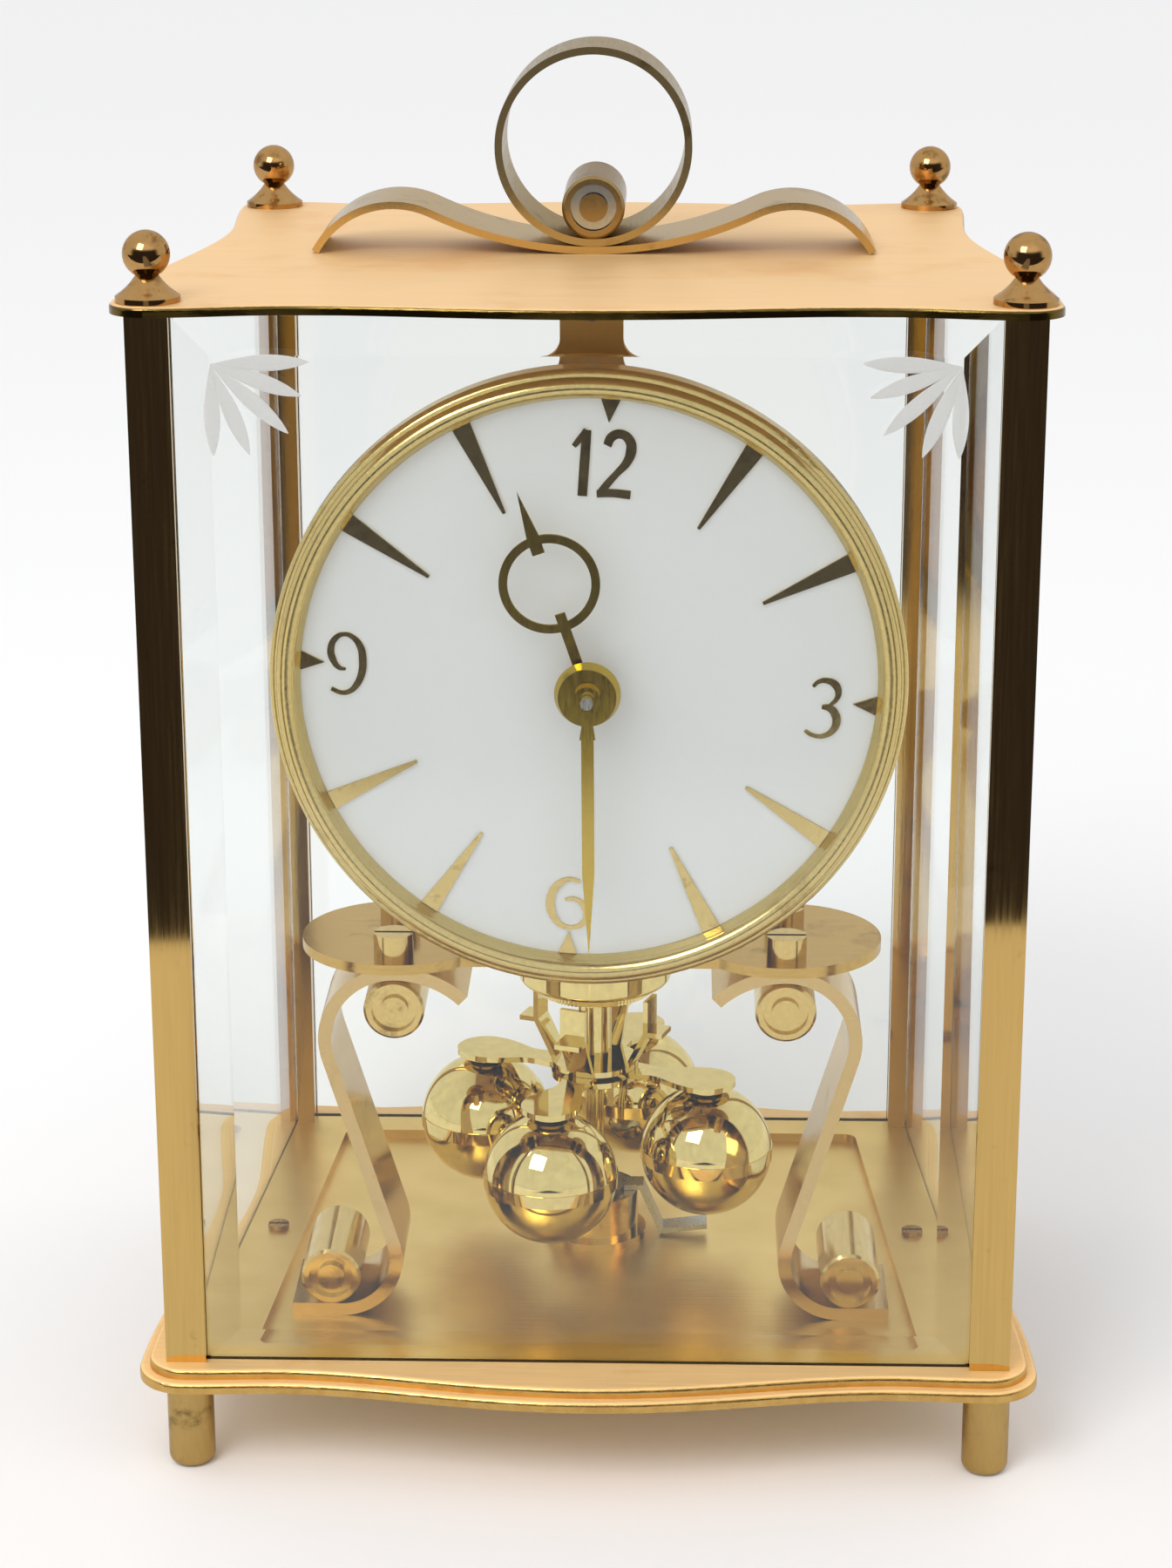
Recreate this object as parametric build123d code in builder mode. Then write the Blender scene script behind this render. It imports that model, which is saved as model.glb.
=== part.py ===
from build123d import *
from math import acos, asin, atan2, cos, degrees, hypot, pi, radians, sin, sqrt
import os

os.makedirs("parts", exist_ok=True)

# Torsion clock in a glazed brass case. Millimetres; X to the right, Y to the back, Z up.
# The origin lies on the ground under the middle of the case.

# Case
front_width = 120.0  # between the middles of the front posts
back_width = 106.0  # between the middles of the back posts
case_depth = 93.2  # between the front and back rows of posts
post_side = 6.0
foot_height = 14.6
foot_diameter = 7.0
foot_flat = 4.0  # diameter of the flat underside
base_thickness = 1.6
floor_thickness = 1.5
top_thickness = 1.4
base_overhang = 7.4  # from a post's middle to the rim
floor_overhang = 5.85
top_overhang = 5.35
base_bulge = 4.6  # swell of the front edge in front of the corners
top_bulge = 0.6
base_trough = 0.5  # dip of the front edge beside the corners
top_trough = 2.0
trough_inset = 14.0  # from a post's middle to the dip
side_hollow = 3.2  # how far the sides draw in
hollow_back = 25.0  # from the back posts to the deepest point of the sides
rim_round = 0.6
window_side = 9.4  # from the line of the posts to the floor's window
window_end = 6.0
window_corner = 2.0
stud_diameter = 3.0
stud_reach = 6.0
fit = 0.05  # radial clearance of a stud, screw or pivot in its hole

# Finials
finial_flange = 9.0
finial_rim = 0.8
finial_neck = 3.2
finial_waist = 4.65  # two thirds of the way up to the neck
finial_ball = 6.6
finial_height = 6.5  # from the top plate to the ball's middle

# Glass
pane_thickness = 2.0
pane_inset = 1.2  # from a post's outer face to the glass
groove_depth = 1.2
groove_gap = 0.1
pane_headroom = 0.2
bevel_width = 5.4
bevel_depth = 0.8

# Handle
handle_width = 16.5
handle_back = 4.5  # from the case's middle to the handle's middle
handle_thickness = 1.1
hump_spacing = 59.4
hump_height = 7.7
hump_radius = 13.3
ring_diameter = 29.1
handle_roll_diameter = 9.3
roll_proud = 0.5  # each roll's end stands out from its strip
roll_groove_outer = 6.8
roll_groove_inner = 4.2
roll_groove_depth = 0.8
roll_edge = 0.4
roll_seat = 0.03  # between a roll and its strip
screw_head = 6.0
screw_head_height = 2.0

# Supports and platform
strip_thickness = 2.0
strip_width = 16.0
strip_front = 29.0  # from the case's middle to the strips' front edges
crown_spacing = 59.0
crown_radius = 11.6
tail_radius = 16.0
tail_angle = 44.0
foot_curve_spacing = 77.0
foot_curve_radius = 9.6
strip_spread = 92.2  # over the two flat ends
support_roll_diameter = 9.2
lower_roll_spacing = 80.0
platform_height = 57.4  # from the window's floor to the platform's underside
platform_thickness = 1.6
lobe_radius = 14.7
lobe_forward = 17.5  # from the case's middle to the lobes' middles
bridge_margin = 0.6
platform_head = 6.0
platform_head_height = 3.6
platform_screw_spacing = 12.6
support_screw_spacing = 8.0
screw_shank = 2.6
screw_slot = 0.7
screw_bite = 4.0  # how deep a screw goes into its roll
floor_screw_head = 3.4
floor_screw_height = 0.7
floor_screw_inset = 4.4  # from the window to the screw's middle

# Dial and bezel
dial_forward = 32.4
dial_thickness = 0.8
dial_turn = -4.4  # the dial is set a little clockwise
dial_rebate = 0.4  # between the dial's edge and the bezel's wall
bezel_opening = 83.8
bezel_ring_inner = 84.8
bezel_ring_outer = 90.4
bezel_outer = 92.6
bezel_crest = 3.5  # in front of the dial
bezel_step = 1.9
bezel_depth = 2.6  # behind the dial's face
bezel_lip = 0.7
marker_width = 2.8
marker_length = 14.0
quarter_marker_length = 3.4
marker_tip = 0.45  # width of the long markers' blunt ends
marker_height = 0.5

# Movement
plate_radius = 42.0
plate_lift = 2.1  # from the platform to the round of the plates
plate_thickness = 1.5
plate_gap = 11.5
motion_gap = 4.0  # between the dial and the front plate
plate_foot_width = 30.0
neck_width = 9.3
neck_top = 51.0  # over the dial's middle
neck_headroom = 5.2  # from the neck to the top plate
shoulder_radius = 3.0
pillar_diameter = 4.4
pillar_circle_radius = 36.0
base_pillar_diameter = 6.0
base_pillar_spacing = 20.0
base_pillar_lift = 0.2
dial_foot_diameter = 2.4
dial_foot_circle_radius = 28.0
arbor_diameter = 2.0
pivot_diameter = 1.0
end_shake = 0.1
wheel_thickness = 1.0
pinion_length = 2.4

# Going train, from the mainspring to the escapement
train_module = 0.4
centre_module = 0.5
tooth_height = 0.9  # of a wheel's tooth over the pitch circle, in modules
tooth_depth = 1.0
tooth_root = 0.5  # width of a wheel's tooth, as a part of the pitch
tooth_tip = 0.18
leaf_height = 0.65  # the same for the leaves of a pinion
leaf_depth = 1.25
leaf_root = 0.38
leaf_tip = 0.22
barrel_teeth = 72
first_teeth = 64
second_teeth = 64
low_leaves = 8
centre_teeth = 48
third_teeth = 36
high_leaves = 12
escape_teeth = 20
escape_radius = 7.0
escape_depth = 1.8
escape_lean = 0.5  # where the back of a tooth leaves the rim, as a part of the pitch
saw_undercut = 0.06  # lean of the steep face of a pointed tooth, as a part of the pitch
escape_rise = 17.5  # over the centre arbor
anchor_rise = 27.5
third_bearing = 45.5
second_bearing = 170.0
first_bearing = -75.0
barrel_bearing = -25.0
centre_wheel_layer = 0.8  # each layer is counted from the front plate's inner face
third_wheel_layer = 3.0
second_wheel_layer = 4.6
escape_layer = 7.4
first_wheel_layer = 9.7
barrel_front_layer = 2.4
barrel_length = 6.6
barrel_drum = 26.6
barrel_wall = 0.8
barrel_arbor_diameter = 4.4
winding_square = 2.6
winding_length = 7.0
spring_turns = 6
spring_strip = 0.5
spring_margin = 0.5

# Winding work on the back plate
ratchet_teeth = 18
ratchet_radius = 6.5
ratchet_depth = 1.1
ratchet_lean = 0.2
ratchet_thickness = 1.2
ratchet_gap = 0.3
click_length = 7.0
click_side = 60.0  # bearing of the click from the barrel
click_width = 2.4
click_nose = 0.35
click_clear = 0.15  # from the click's point to the ratchet's tips, so that it winds freely
bracket_screw_diameter = 2.0

# Escapement and suspension
pallet_half_angle = 40.5
pallet_clear = 0.6  # from a pallet at rest to the wheel's tips
pallet_thickness = 0.5
anchor_thickness = 1.0
pin_diameter = 0.8
pin_height = 14.0
pin_back = 2.4  # behind the back plate
pendulum_back = 3.0  # from the case's middle to the pendulum's axis
saddle_width = 7.0
saddle_height = 4.0
saddle_drop = 1.0
saddle_end = 3.2
saddle_round = 2.3
saddle_bite = 6.0  # how deep its screw goes in
ribbon_width = 0.6
ribbon_thickness = 0.15
ribbon_room = 0.4  # radius of the holes round the ribbon
fork_block = 2.6
fork_gap = 0.15
tine_thickness = 0.6

# Motion work and hands
cannon_leaves = 12
minute_teeth = 36
minute_leaves = 12
hour_teeth = 48
motion_module = 0.4
motion_bearing = 200.0
motion_wheel_thickness = 0.9
front_arbor_diameter = 1.8
pipe_wall = 0.6
hand_thickness = 0.5
hour_hand_lift = 5.0  # in front of the dial
minute_hand_lift = 8.1
arbor_end = 11.6
hour_angle = 18.8  # from upright, to the left
minute_angle = 179.7
hour_ring_reach = 16.9
hour_ring_diameter = 14.5
hour_ring_band = 1.25
hour_hand_length = 31.0
hour_stem_width = 1.5
hour_spear_width = 1.8
hour_tab = 1.4  # how far the stem and the spear reach inside the ring
minute_hand_length = 39.4
minute_hand_width = 1.8
minute_taper = 13.0  # length of the end that draws to a point
collar_root = 1.7
collar_width = 2.3
collar_length = 2.0
hub_diameter = 8.4
washer_diameter = 9.6
washer_rim = 1.6
nut_diameter = 4.0
nut_height = 1.2

# Pendulum
ball_diameter = 21.0
ball_band = 2.0
ball_band_proud = 0.1
ball_ring_radius = 19.1
ball_rise = 17.5  # from the window's floor to the balls' middles
ball_turn = 20.0  # of the front ball, to the left
ball_neck = 2.6
ball_flange = 6.4
ball_flange_height = 0.7
arm_thickness = 0.9
arm_lobe_radius = 4.6
arm_waist = 4.2
arm_waist_reach = 11.0  # from the pendulum's axis
arm_root = 5.4
arm_hold = 1.4  # the least of an arm that stays between its guides
arm_slip = 0.05
rating_travel = 1.0  # of a ball, in and out
guide_disc_diameter = 14.0
spindle_diameter = 3.0
spindle_tip = 2.0
spindle_end = 2.1  # how far the tip reaches down inside the cup
column_diameter = 5.4
disc_diameter = 24.2
disc_rise = 44.25  # from the window's floor to the disc's underside
disc_thickness = 4.4
disc_round = 0.8
serration_diameter = 18.5
serration_depth = 0.4
serration_count = 90
serration_height = 1.8
ear_radius = 9.4
ear_width = 4.2
ear_thickness = 0.8
ear_tab = 2.8
hook_height = 5.0
hook_block = 4.2
cup_diameter = 14.0
cup_height = 8.0
cup_wall = 1.6
cup_flange = 16.6
cup_flange_height = 1.2
cup_boss = 6.4
lever_reach = 18.2
lever_width = 3.6
lever_thickness = 0.9
lever_clear = 0.6  # from the cup's edge to the lever's bend
lever_slope = 3.2  # how far out the lever runs on its way down
lever_ring_width = 1.8

# Places that follow from the sizes above
front_x = front_width / 2
back_x = back_width / 2
row_y = case_depth / 2
base_bottom = foot_height
window_floor = base_bottom + base_thickness
post_bottom = window_floor + floor_thickness
platform_bottom = window_floor + platform_height
platform_top = platform_bottom + platform_thickness
dial_height = platform_top + plate_lift + plate_radius
post_top = dial_height + neck_top + neck_headroom
case_top = post_top + top_thickness
post_centres = [(front_x, -row_y), (-front_x, -row_y), (back_x, row_y), (-back_x, row_y)]
side_slope = (front_x - back_x) / case_depth
window_front = -row_y + window_end
window_back = row_y - window_end
window_front_x = front_x - side_slope * window_end - window_side
window_back_x = back_x + side_slope * window_end - window_side
floor_screw_x = (window_front_x + window_back_x) / 2 + floor_screw_inset

ball_height = window_floor + ball_rise
disc_height = window_floor + disc_rise
strip_middle = -strip_front + strip_width / 2
crown_x = crown_spacing / 2
lower_roll_x = lower_roll_spacing / 2
support_screw_ys = (strip_middle - support_screw_spacing / 2, strip_middle + support_screw_spacing / 2)

dial_face = -dial_forward
dial_back = dial_face + dial_thickness
front_plate_face = dial_back + motion_gap
front_plate_inner = front_plate_face + plate_thickness
back_plate_inner = front_plate_inner + plate_gap
back_plate_outer = back_plate_inner + plate_thickness

centre = (0.0, dial_height)
pivot_hole = pivot_diameter / 2 + fit


def polar(middle, reach, bearing):
    """The point at a bearing in degrees, counted anticlockwise from the right."""
    return (middle[0] + reach * cos(radians(bearing)), middle[1] + reach * sin(radians(bearing)))


def bearing_to(start, end):
    """The bearing from one arbor to another."""
    return degrees(atan2(end[1] - start[1], end[0] - start[0]))


def face_on(place, y):
    """Plane at an arbor or another (x, z) place, facing the front."""
    return Plane(origin=(place[0], y, place[1]), x_dir=(1, 0, 0), z_dir=(0, -1, 0))


def upright(x, y):
    """Plane through a vertical axis, for profiles of radius and height."""
    return Plane(origin=(x, y, 0), x_dir=(1, 0, 0), z_dir=(0, -1, 0))


def along(place):
    """Plane through an axis that runs from front to back, for profiles of depth and radius."""
    return Plane(origin=(place[0], 0, place[1]), x_dir=(0, 1, 0), z_dir=(1, 0, 0))


second = polar(centre, train_module * (second_teeth + low_leaves) / 2, second_bearing)
first = polar(second, train_module * (first_teeth + low_leaves) / 2, first_bearing)
barrel_place = polar(first, train_module * (barrel_teeth + low_leaves) / 2, barrel_bearing)
third = polar(centre, centre_module * (centre_teeth + high_leaves) / 2, third_bearing)
escape = (centre[0], centre[1] + escape_rise)
anchor_place = (centre[0], centre[1] + anchor_rise)
escape_module = 2 * hypot(third[0] - escape[0], third[1] - escape[1]) / (third_teeth + high_leaves)
motion_reach = motion_module * (cannon_leaves + minute_teeth) / 2
minute_place = polar(centre, motion_reach, motion_bearing)
hour_module = 2 * motion_reach / (minute_leaves + hour_teeth)
pillar_places = [polar(centre, pillar_circle_radius, bearing) for bearing in (55, 125, 200, 335)]
base_pillar_z = platform_top + base_pillar_lift + base_pillar_diameter / 2
base_pillar_places = [(side * base_pillar_spacing / 2, base_pillar_z) for side in (-1, 1)]
dial_foot_places = [polar(centre, dial_foot_circle_radius, bearing) for bearing in (30, 150, 270)]
pallet_reach = escape_radius + pallet_clear
click_place = polar(barrel_place, ratchet_radius + click_clear + click_length, click_side)


def plate_outline(overhang, trough, bulge):
    """Outline of a case plate: a round at each post, waved front and back, sides drawn in."""
    edge = row_y + overhang
    wave_x = front_x - trough_inset
    back_wave_x = back_x - trough_inset
    hollow_y = row_y - hollow_back
    hollow_x = back_x + side_slope * hollow_back + overhang - side_hollow
    with BuildSketch() as outline:
        with BuildLine():
            Spline((0, -edge - bulge), (wave_x, -edge + trough), (front_x, -edge),
                   tangents=((1, 0), (1, 0)))
            CenterArc((front_x, -row_y), overhang, -90, 90)
            Spline((front_x + overhang, -row_y), (hollow_x, hollow_y), (back_x + overhang, row_y),
                   tangents=((0, 1), (0, 1)))
            CenterArc((back_x, row_y), overhang, 0, 90)
            Spline((back_x, edge), (back_wave_x, edge - trough), (0, edge + bulge),
                   tangents=((-1, 0), (-1, 0)))
            mirror(about=Plane.YZ)
        make_face()
    return outline.sketch


def tooth_points(teeth, module, phase, leaves):
    """Points round a wheel, or round a pinion where leaves is true, with a tooth at the phase bearing."""
    pitch = module * teeth / 2
    tip = pitch + (leaf_height if leaves else tooth_height) * module
    root = pitch - (leaf_depth if leaves else tooth_depth) * module
    step = 2 * pi / teeth
    root_half = step * (leaf_root if leaves else tooth_root) / 2
    tip_half = step * (leaf_tip if leaves else tooth_tip) / 2
    points = []
    for index in range(teeth):
        middle = radians(phase) + index * step
        for reach, turn in ((root, -root_half), (tip, -tip_half), (tip, tip_half), (root, root_half)):
            points.append((reach * cos(middle + turn), reach * sin(middle + turn)))
    return points


def saw_points(teeth, tip, root, phase, lean):
    """Points round a wheel of pointed teeth that lean over, as on a ratchet or an escape wheel."""
    step = 2 * pi / teeth
    points = []
    for index in range(teeth):
        middle = radians(phase) + index * step
        for reach, turn in ((tip, 0.0), (root, saw_undercut), (root, lean)):
            points.append((reach * cos(middle + turn * step), reach * sin(middle + turn * step)))
    return points


def outline_of(points):
    """A face bounded by straight runs between the points."""
    with BuildSketch() as face:
        with BuildLine():
            Polyline(*points, close=True)
        make_face()
    return face.sketch


def mating_phase(start, end, teeth):
    """Phase of a wheel at the end arbor whose gap takes a tooth that points at it from the start arbor."""
    return bearing_to(end, start) + 180 / teeth


def turned_roll(place, diameter, front, length):
    """A roll with a turned groove in each end."""
    radius = diameter / 2
    outer = roll_groove_outer / 2
    inner = roll_groove_inner / 2
    back = front + length
    with BuildPart() as roll:
        with BuildSketch(along(place)):
            with BuildLine():
                Polyline((front, 0), (front, inner), (front + roll_groove_depth, inner),
                         (front + roll_groove_depth, outer), (front, outer), (front, radius - roll_edge),
                         (front + roll_edge, radius), (back - roll_edge, radius),
                         (back, radius - roll_edge), (back, outer), (back - roll_groove_depth, outer),
                         (back - roll_groove_depth, inner), (back, inner), (back, 0), close=True)
            make_face()
        revolve(axis=Axis((place[0], 0, place[1]), (0, 1, 0)))
    return roll.part


def pin(x, y, bottom, top, diameter):
    """An upright round bar, used for shanks, studs and the holes that take them."""
    with BuildPart() as bar:
        with BuildSketch(Plane.XY.offset(bottom)):
            with Locations((x, y)):
                Circle(diameter / 2)
        extrude(amount=top - bottom)
    return bar.part


def bar(place, front, back, diameter):
    """A round bar from front to back, used for arbors, pillars and their holes."""
    with BuildPart() as rod:
        with BuildSketch(face_on(place, back)):
            Circle(diameter / 2)
        extrude(amount=back - front)
    return rod.part


def screw(x, y, seat, head_diameter, head_height, tip):
    """An upright screw whose slotted head sits at the seat and whose shank ends at the tip."""
    upward = 1 if tip < seat else -1
    crown = seat + upward * head_height
    with BuildPart() as fastener:
        with BuildSketch(Plane.XY.offset(seat)):
            with Locations((x, y)):
                Circle(head_diameter / 2)
        extrude(amount=upward * head_height)
        with BuildSketch(Plane.XY.offset(crown)):
            with Locations((x, y)):
                Rectangle(head_diameter, screw_slot)
        extrude(amount=-upward * head_height / 3, mode=Mode.SUBTRACT)
        add(pin(x, y, min(seat, tip), max(seat, tip), screw_shank))
    return fastener.part


def arbor(place, front, back):
    """An arbor between the plates with a pivot at each end, the plates' pivot holes around them."""
    with BuildPart() as shaft:
        add(bar(place, front, back, arbor_diameter))
        add(bar(place, front_plate_face, back_plate_outer, pivot_diameter))
    return shaft.part


arbor_front = front_plate_inner + end_shake
arbor_back = back_plate_inner - end_shake
screw_hole = screw_shank + 2 * fit

# Base plate
with BuildPart() as base_plate:
    with BuildSketch(Plane.XY.offset(base_bottom)):
        add(plate_outline(base_overhang, base_trough, base_bulge))
    extrude(amount=base_thickness)
    fillet(base_plate.faces().sort_by(Axis.Z)[-1].edges(), rim_round)
    with BuildSketch(Plane.XY.offset(base_bottom)):
        with Locations(*post_centres):
            Circle(stud_diameter / 2 + fit)
        for side in (-1, 1):
            with Locations(*[(side * lower_roll_x, y) for y in support_screw_ys]):
                Circle(screw_hole / 2)
            with Locations((side * floor_screw_x, 0)):
                Circle(screw_hole / 2)
    extrude(amount=base_thickness, mode=Mode.SUBTRACT)

# Floor plate with the window
with BuildPart() as floor_plate:
    with BuildSketch(Plane.XY.offset(window_floor)):
        add(plate_outline(floor_overhang, base_trough, base_bulge))
    extrude(amount=floor_thickness)
    fillet(floor_plate.faces().sort_by(Axis.Z)[-1].edges(), rim_round)
    with BuildSketch(Plane.XY.offset(window_floor)) as window:
        with BuildLine():
            Polyline((-window_front_x, window_front), (window_front_x, window_front),
                     (window_back_x, window_back), (-window_back_x, window_back), close=True)
        make_face()
        fillet(window.vertices(), window_corner)
        with Locations(*post_centres):
            Circle(stud_diameter / 2 + fit)
        with Locations((-floor_screw_x, 0), (floor_screw_x, 0)):
            Circle(screw_hole / 2)
    extrude(amount=floor_thickness, mode=Mode.SUBTRACT)

# Floor screws, with low round heads on the floor plate
with BuildPart() as floor_screws:
    for side in (-1, 1):
        add(screw(side * floor_screw_x, 0, post_bottom, floor_screw_head, floor_screw_height, base_bottom))

# Feet, each with a stud up through both plates into its post
with BuildPart() as feet:
    for x, y in post_centres:
        with BuildSketch(upright(x, y)):
            with BuildLine():
                foot_round = (foot_diameter - foot_flat) / 2
                Line((0, 0), (foot_flat / 2, 0))
                RadiusArc((foot_flat / 2, 0), (foot_diameter / 2, foot_round), -foot_round)
                Polyline((foot_diameter / 2, foot_round), (foot_diameter / 2, base_bottom),
                         (stud_diameter / 2, base_bottom), (stud_diameter / 2, post_bottom + stud_reach),
                         (0, post_bottom + stud_reach), (0, 0))
            make_face()
        revolve(axis=Axis((x, y, 0), (0, 0, 1)))


def pane_block(start, end, thickness, bottom, top):
    """A flat sheet that stands on the line from start to end."""
    reach = hypot(end[0] - start[0], end[1] - start[1])
    middle = ((start[0] + end[0]) / 2, (start[1] + end[1]) / 2)
    with BuildPart() as sheet:
        with BuildSketch(Plane.XY.offset(bottom)):
            with Locations(Location(middle, bearing_to(start, end))):
                Rectangle(reach, thickness)
        extrude(amount=top - bottom)
    return sheet.part


pane_lead = post_side / 2 - groove_depth
pane_out = post_side / 2 - pane_inset - pane_thickness / 2
side_front = front_x + pane_out - pane_lead * side_slope
side_back = back_x + pane_out + pane_lead * side_slope
pane_lines = {
    "front": ((-front_x + pane_lead, -row_y - pane_out), (front_x - pane_lead, -row_y - pane_out)),
    "back": ((-back_x + pane_lead, row_y + pane_out), (back_x - pane_lead, row_y + pane_out)),
    "left": ((-side_front, -row_y + pane_lead), (-side_back, row_y - pane_lead)),
    "right": ((side_front, -row_y + pane_lead), (side_back, row_y - pane_lead)),
}

# Corner posts, grooved for the glass and drilled for the studs
with BuildPart() as corner_posts:
    with BuildSketch(Plane.XY.offset(post_bottom)):
        with Locations(*post_centres):
            Rectangle(post_side, post_side)
    extrude(amount=post_top - post_bottom)
    for start, end in pane_lines.values():
        reach = hypot(end[0] - start[0], end[1] - start[1])
        more = groove_gap / reach
        longer_start = (start[0] - more * (end[0] - start[0]), start[1] - more * (end[1] - start[1]))
        longer_end = (end[0] + more * (end[0] - start[0]), end[1] + more * (end[1] - start[1]))
        add(pane_block(longer_start, longer_end, pane_thickness + 2 * groove_gap, post_bottom, post_top),
            mode=Mode.SUBTRACT)
    stud_hole = stud_diameter + 2 * fit
    for x, y in post_centres:
        add(pin(x, y, post_bottom, post_bottom + stud_reach + groove_gap, stud_hole), mode=Mode.SUBTRACT)
        add(pin(x, y, post_top - stud_reach - groove_gap, post_top, stud_hole), mode=Mode.SUBTRACT)

pane_top = post_top - pane_headroom

# Front glass, with a wide bevel round its outer face
with BuildPart() as front_glass:
    add(pane_block(*pane_lines["front"], pane_thickness, post_bottom, pane_top))
    bevel_face = -row_y - pane_out - pane_thickness / 2
    opening_width = front_width - post_side
    pane_middle = (0, (post_bottom + pane_top) / 2)
    pane_height = pane_top - post_bottom
    with BuildSketch(face_on(pane_middle, bevel_face)):
        Rectangle(opening_width, pane_height)
    with BuildSketch(face_on(pane_middle, bevel_face - bevel_depth)):
        Rectangle(opening_width - 2 * bevel_width, pane_height - 2 * bevel_width)
    loft(ruled=True)

# Back and side glass
with BuildPart() as back_glass:
    add(pane_block(*pane_lines["back"], pane_thickness, post_bottom, pane_top))
with BuildPart() as left_glass:
    add(pane_block(*pane_lines["left"], pane_thickness, post_bottom, pane_top))
with BuildPart() as right_glass:
    add(pane_block(*pane_lines["right"], pane_thickness, post_bottom, pane_top))

# Top plate
with BuildPart() as top_plate:
    with BuildSketch(Plane.XY.offset(post_top)):
        add(plate_outline(top_overhang, top_trough, top_bulge))
    extrude(amount=top_thickness)
    fillet(top_plate.faces().sort_by(Axis.Z)[-1].edges(), rim_round)
    with BuildSketch(Plane.XY.offset(post_top)):
        with Locations(*post_centres):
            Circle(stud_diameter / 2 + fit)
        with Locations((0, handle_back)):
            Circle(screw_hole / 2)
    extrude(amount=top_thickness, mode=Mode.SUBTRACT)

# Finials, each with a stud down through the top plate into its post
ball_foot = case_top + finial_height - sqrt((finial_ball / 2) ** 2 - (finial_neck / 2) ** 2)
with BuildPart() as finials:
    for x, y in post_centres:
        with BuildSketch(upright(x, y)):
            with BuildLine():
                Polyline((0, post_top - stud_reach), (stud_diameter / 2, post_top - stud_reach),
                         (stud_diameter / 2, case_top), (finial_flange / 2, case_top),
                         (finial_flange / 2, case_top + finial_rim))
                waist = (finial_waist / 2, (case_top + finial_rim + 2 * ball_foot) / 3)
                ThreePointArc((finial_flange / 2, case_top + finial_rim), waist,
                              (finial_neck / 2, ball_foot))
                ThreePointArc((finial_neck / 2, ball_foot), (finial_ball / 2, case_top + finial_height),
                              (0, case_top + finial_height + finial_ball / 2))
                Line((0, case_top + finial_height + finial_ball / 2), (0, post_top - stud_reach))
            make_face()
        revolve(axis=Axis((x, y, 0), (0, 0, 1)))

# Handle strip: a wave that touches the top plate at its middle and its tips
hump_x = hump_spacing / 2
handle_edge = handle_back + handle_width / 2
wave_low = case_top + handle_thickness / 2
wave_rise = hump_height - handle_thickness
hump_middle_z = wave_low + wave_rise - hump_radius
dip_radius = (hump_x ** 2 + wave_rise ** 2) / (2 * wave_rise) - hump_radius
tip_turn = acos((case_top - hump_middle_z) / (hump_radius - handle_thickness / 2))
meet = hump_radius / (hump_radius + dip_radius)
meet_point = (hump_x * (1 - meet), hump_middle_z + meet * (wave_low + dip_radius - hump_middle_z))
dip_half = asin(meet_point[0] / dip_radius) / 2
hump_start = atan2(meet_point[1] - hump_middle_z, meet_point[0] - hump_x)
hump_half = (hump_start + pi / 2 - tip_turn) / 2
with BuildPart() as handle_strip:
    with BuildSketch(face_on((0, 0), handle_edge)):
        with BuildLine():
            tip_point = (hump_x + hump_radius * sin(tip_turn), hump_middle_z + hump_radius * cos(tip_turn))
            hump_point = (hump_x + hump_radius * cos(hump_half),
                          hump_middle_z + hump_radius * sin(hump_half))
            dip_point = (dip_radius * sin(dip_half), wave_low + dip_radius * (1 - cos(dip_half)))
            ThreePointArc((0, wave_low), dip_point, meet_point)
            ThreePointArc(meet_point, hump_point, tip_point)
            mirror(about=Plane.YZ)
        trace(line_width=handle_thickness)
    extrude(amount=handle_width)
    add(pin(0, handle_back, case_top, case_top + hump_height, screw_hole), mode=Mode.SUBTRACT)

# Handle ring, standing in the wave's middle
ring_bottom = case_top + handle_thickness
ring_middle = (0, ring_bottom + roll_seat + ring_diameter / 2)
with BuildPart() as handle_ring:
    with BuildSketch(face_on(ring_middle, handle_edge)):
        Circle(ring_diameter / 2)
        Circle(ring_diameter / 2 - handle_thickness, mode=Mode.SUBTRACT)
    extrude(amount=handle_width)
    add(pin(0, handle_back, ring_bottom, ring_middle[1], screw_hole), mode=Mode.SUBTRACT)

# Handle roll, in the ring's foot
handle_roll_place = (0, ring_bottom + 2 * roll_seat + handle_thickness + handle_roll_diameter / 2)
with BuildPart() as handle_roll:
    add(turned_roll(handle_roll_place, handle_roll_diameter, handle_edge - handle_width - roll_proud,
                    handle_width + 2 * roll_proud))
    add(pin(0, handle_back, ring_bottom, handle_roll_place[1], screw_hole), mode=Mode.SUBTRACT)

# Handle screw, from under the top plate into the roll
with BuildPart() as handle_screw:
    add(screw(0, handle_back, post_top, screw_head, screw_head_height, handle_roll_place[1] - fit))

# Supports: an S of flat strip on each side, from the floor up to the platform
crown_path = crown_radius - strip_thickness / 2
tail_path = tail_radius - strip_thickness / 2
foot_path = foot_curve_radius - strip_thickness / 2
crown_middle = (crown_x, platform_bottom - crown_radius)
tail_middle = (crown_x, platform_bottom - tail_radius)
foot_middle = (foot_curve_spacing / 2, window_floor + foot_curve_radius)
lean_reach = hypot(foot_middle[0] - crown_middle[0], foot_middle[1] - crown_middle[1])
lean_bearing = bearing_to(crown_middle, foot_middle) + degrees(acos((crown_path + foot_path) / lean_reach))
lower_roll_z = window_floor + strip_thickness + roll_seat + support_roll_diameter / 2
upper_roll_z = platform_bottom - strip_thickness - roll_seat - support_roll_diameter / 2
platform_screw_ys = (strip_middle - platform_screw_spacing / 2, strip_middle + platform_screw_spacing / 2)


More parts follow.
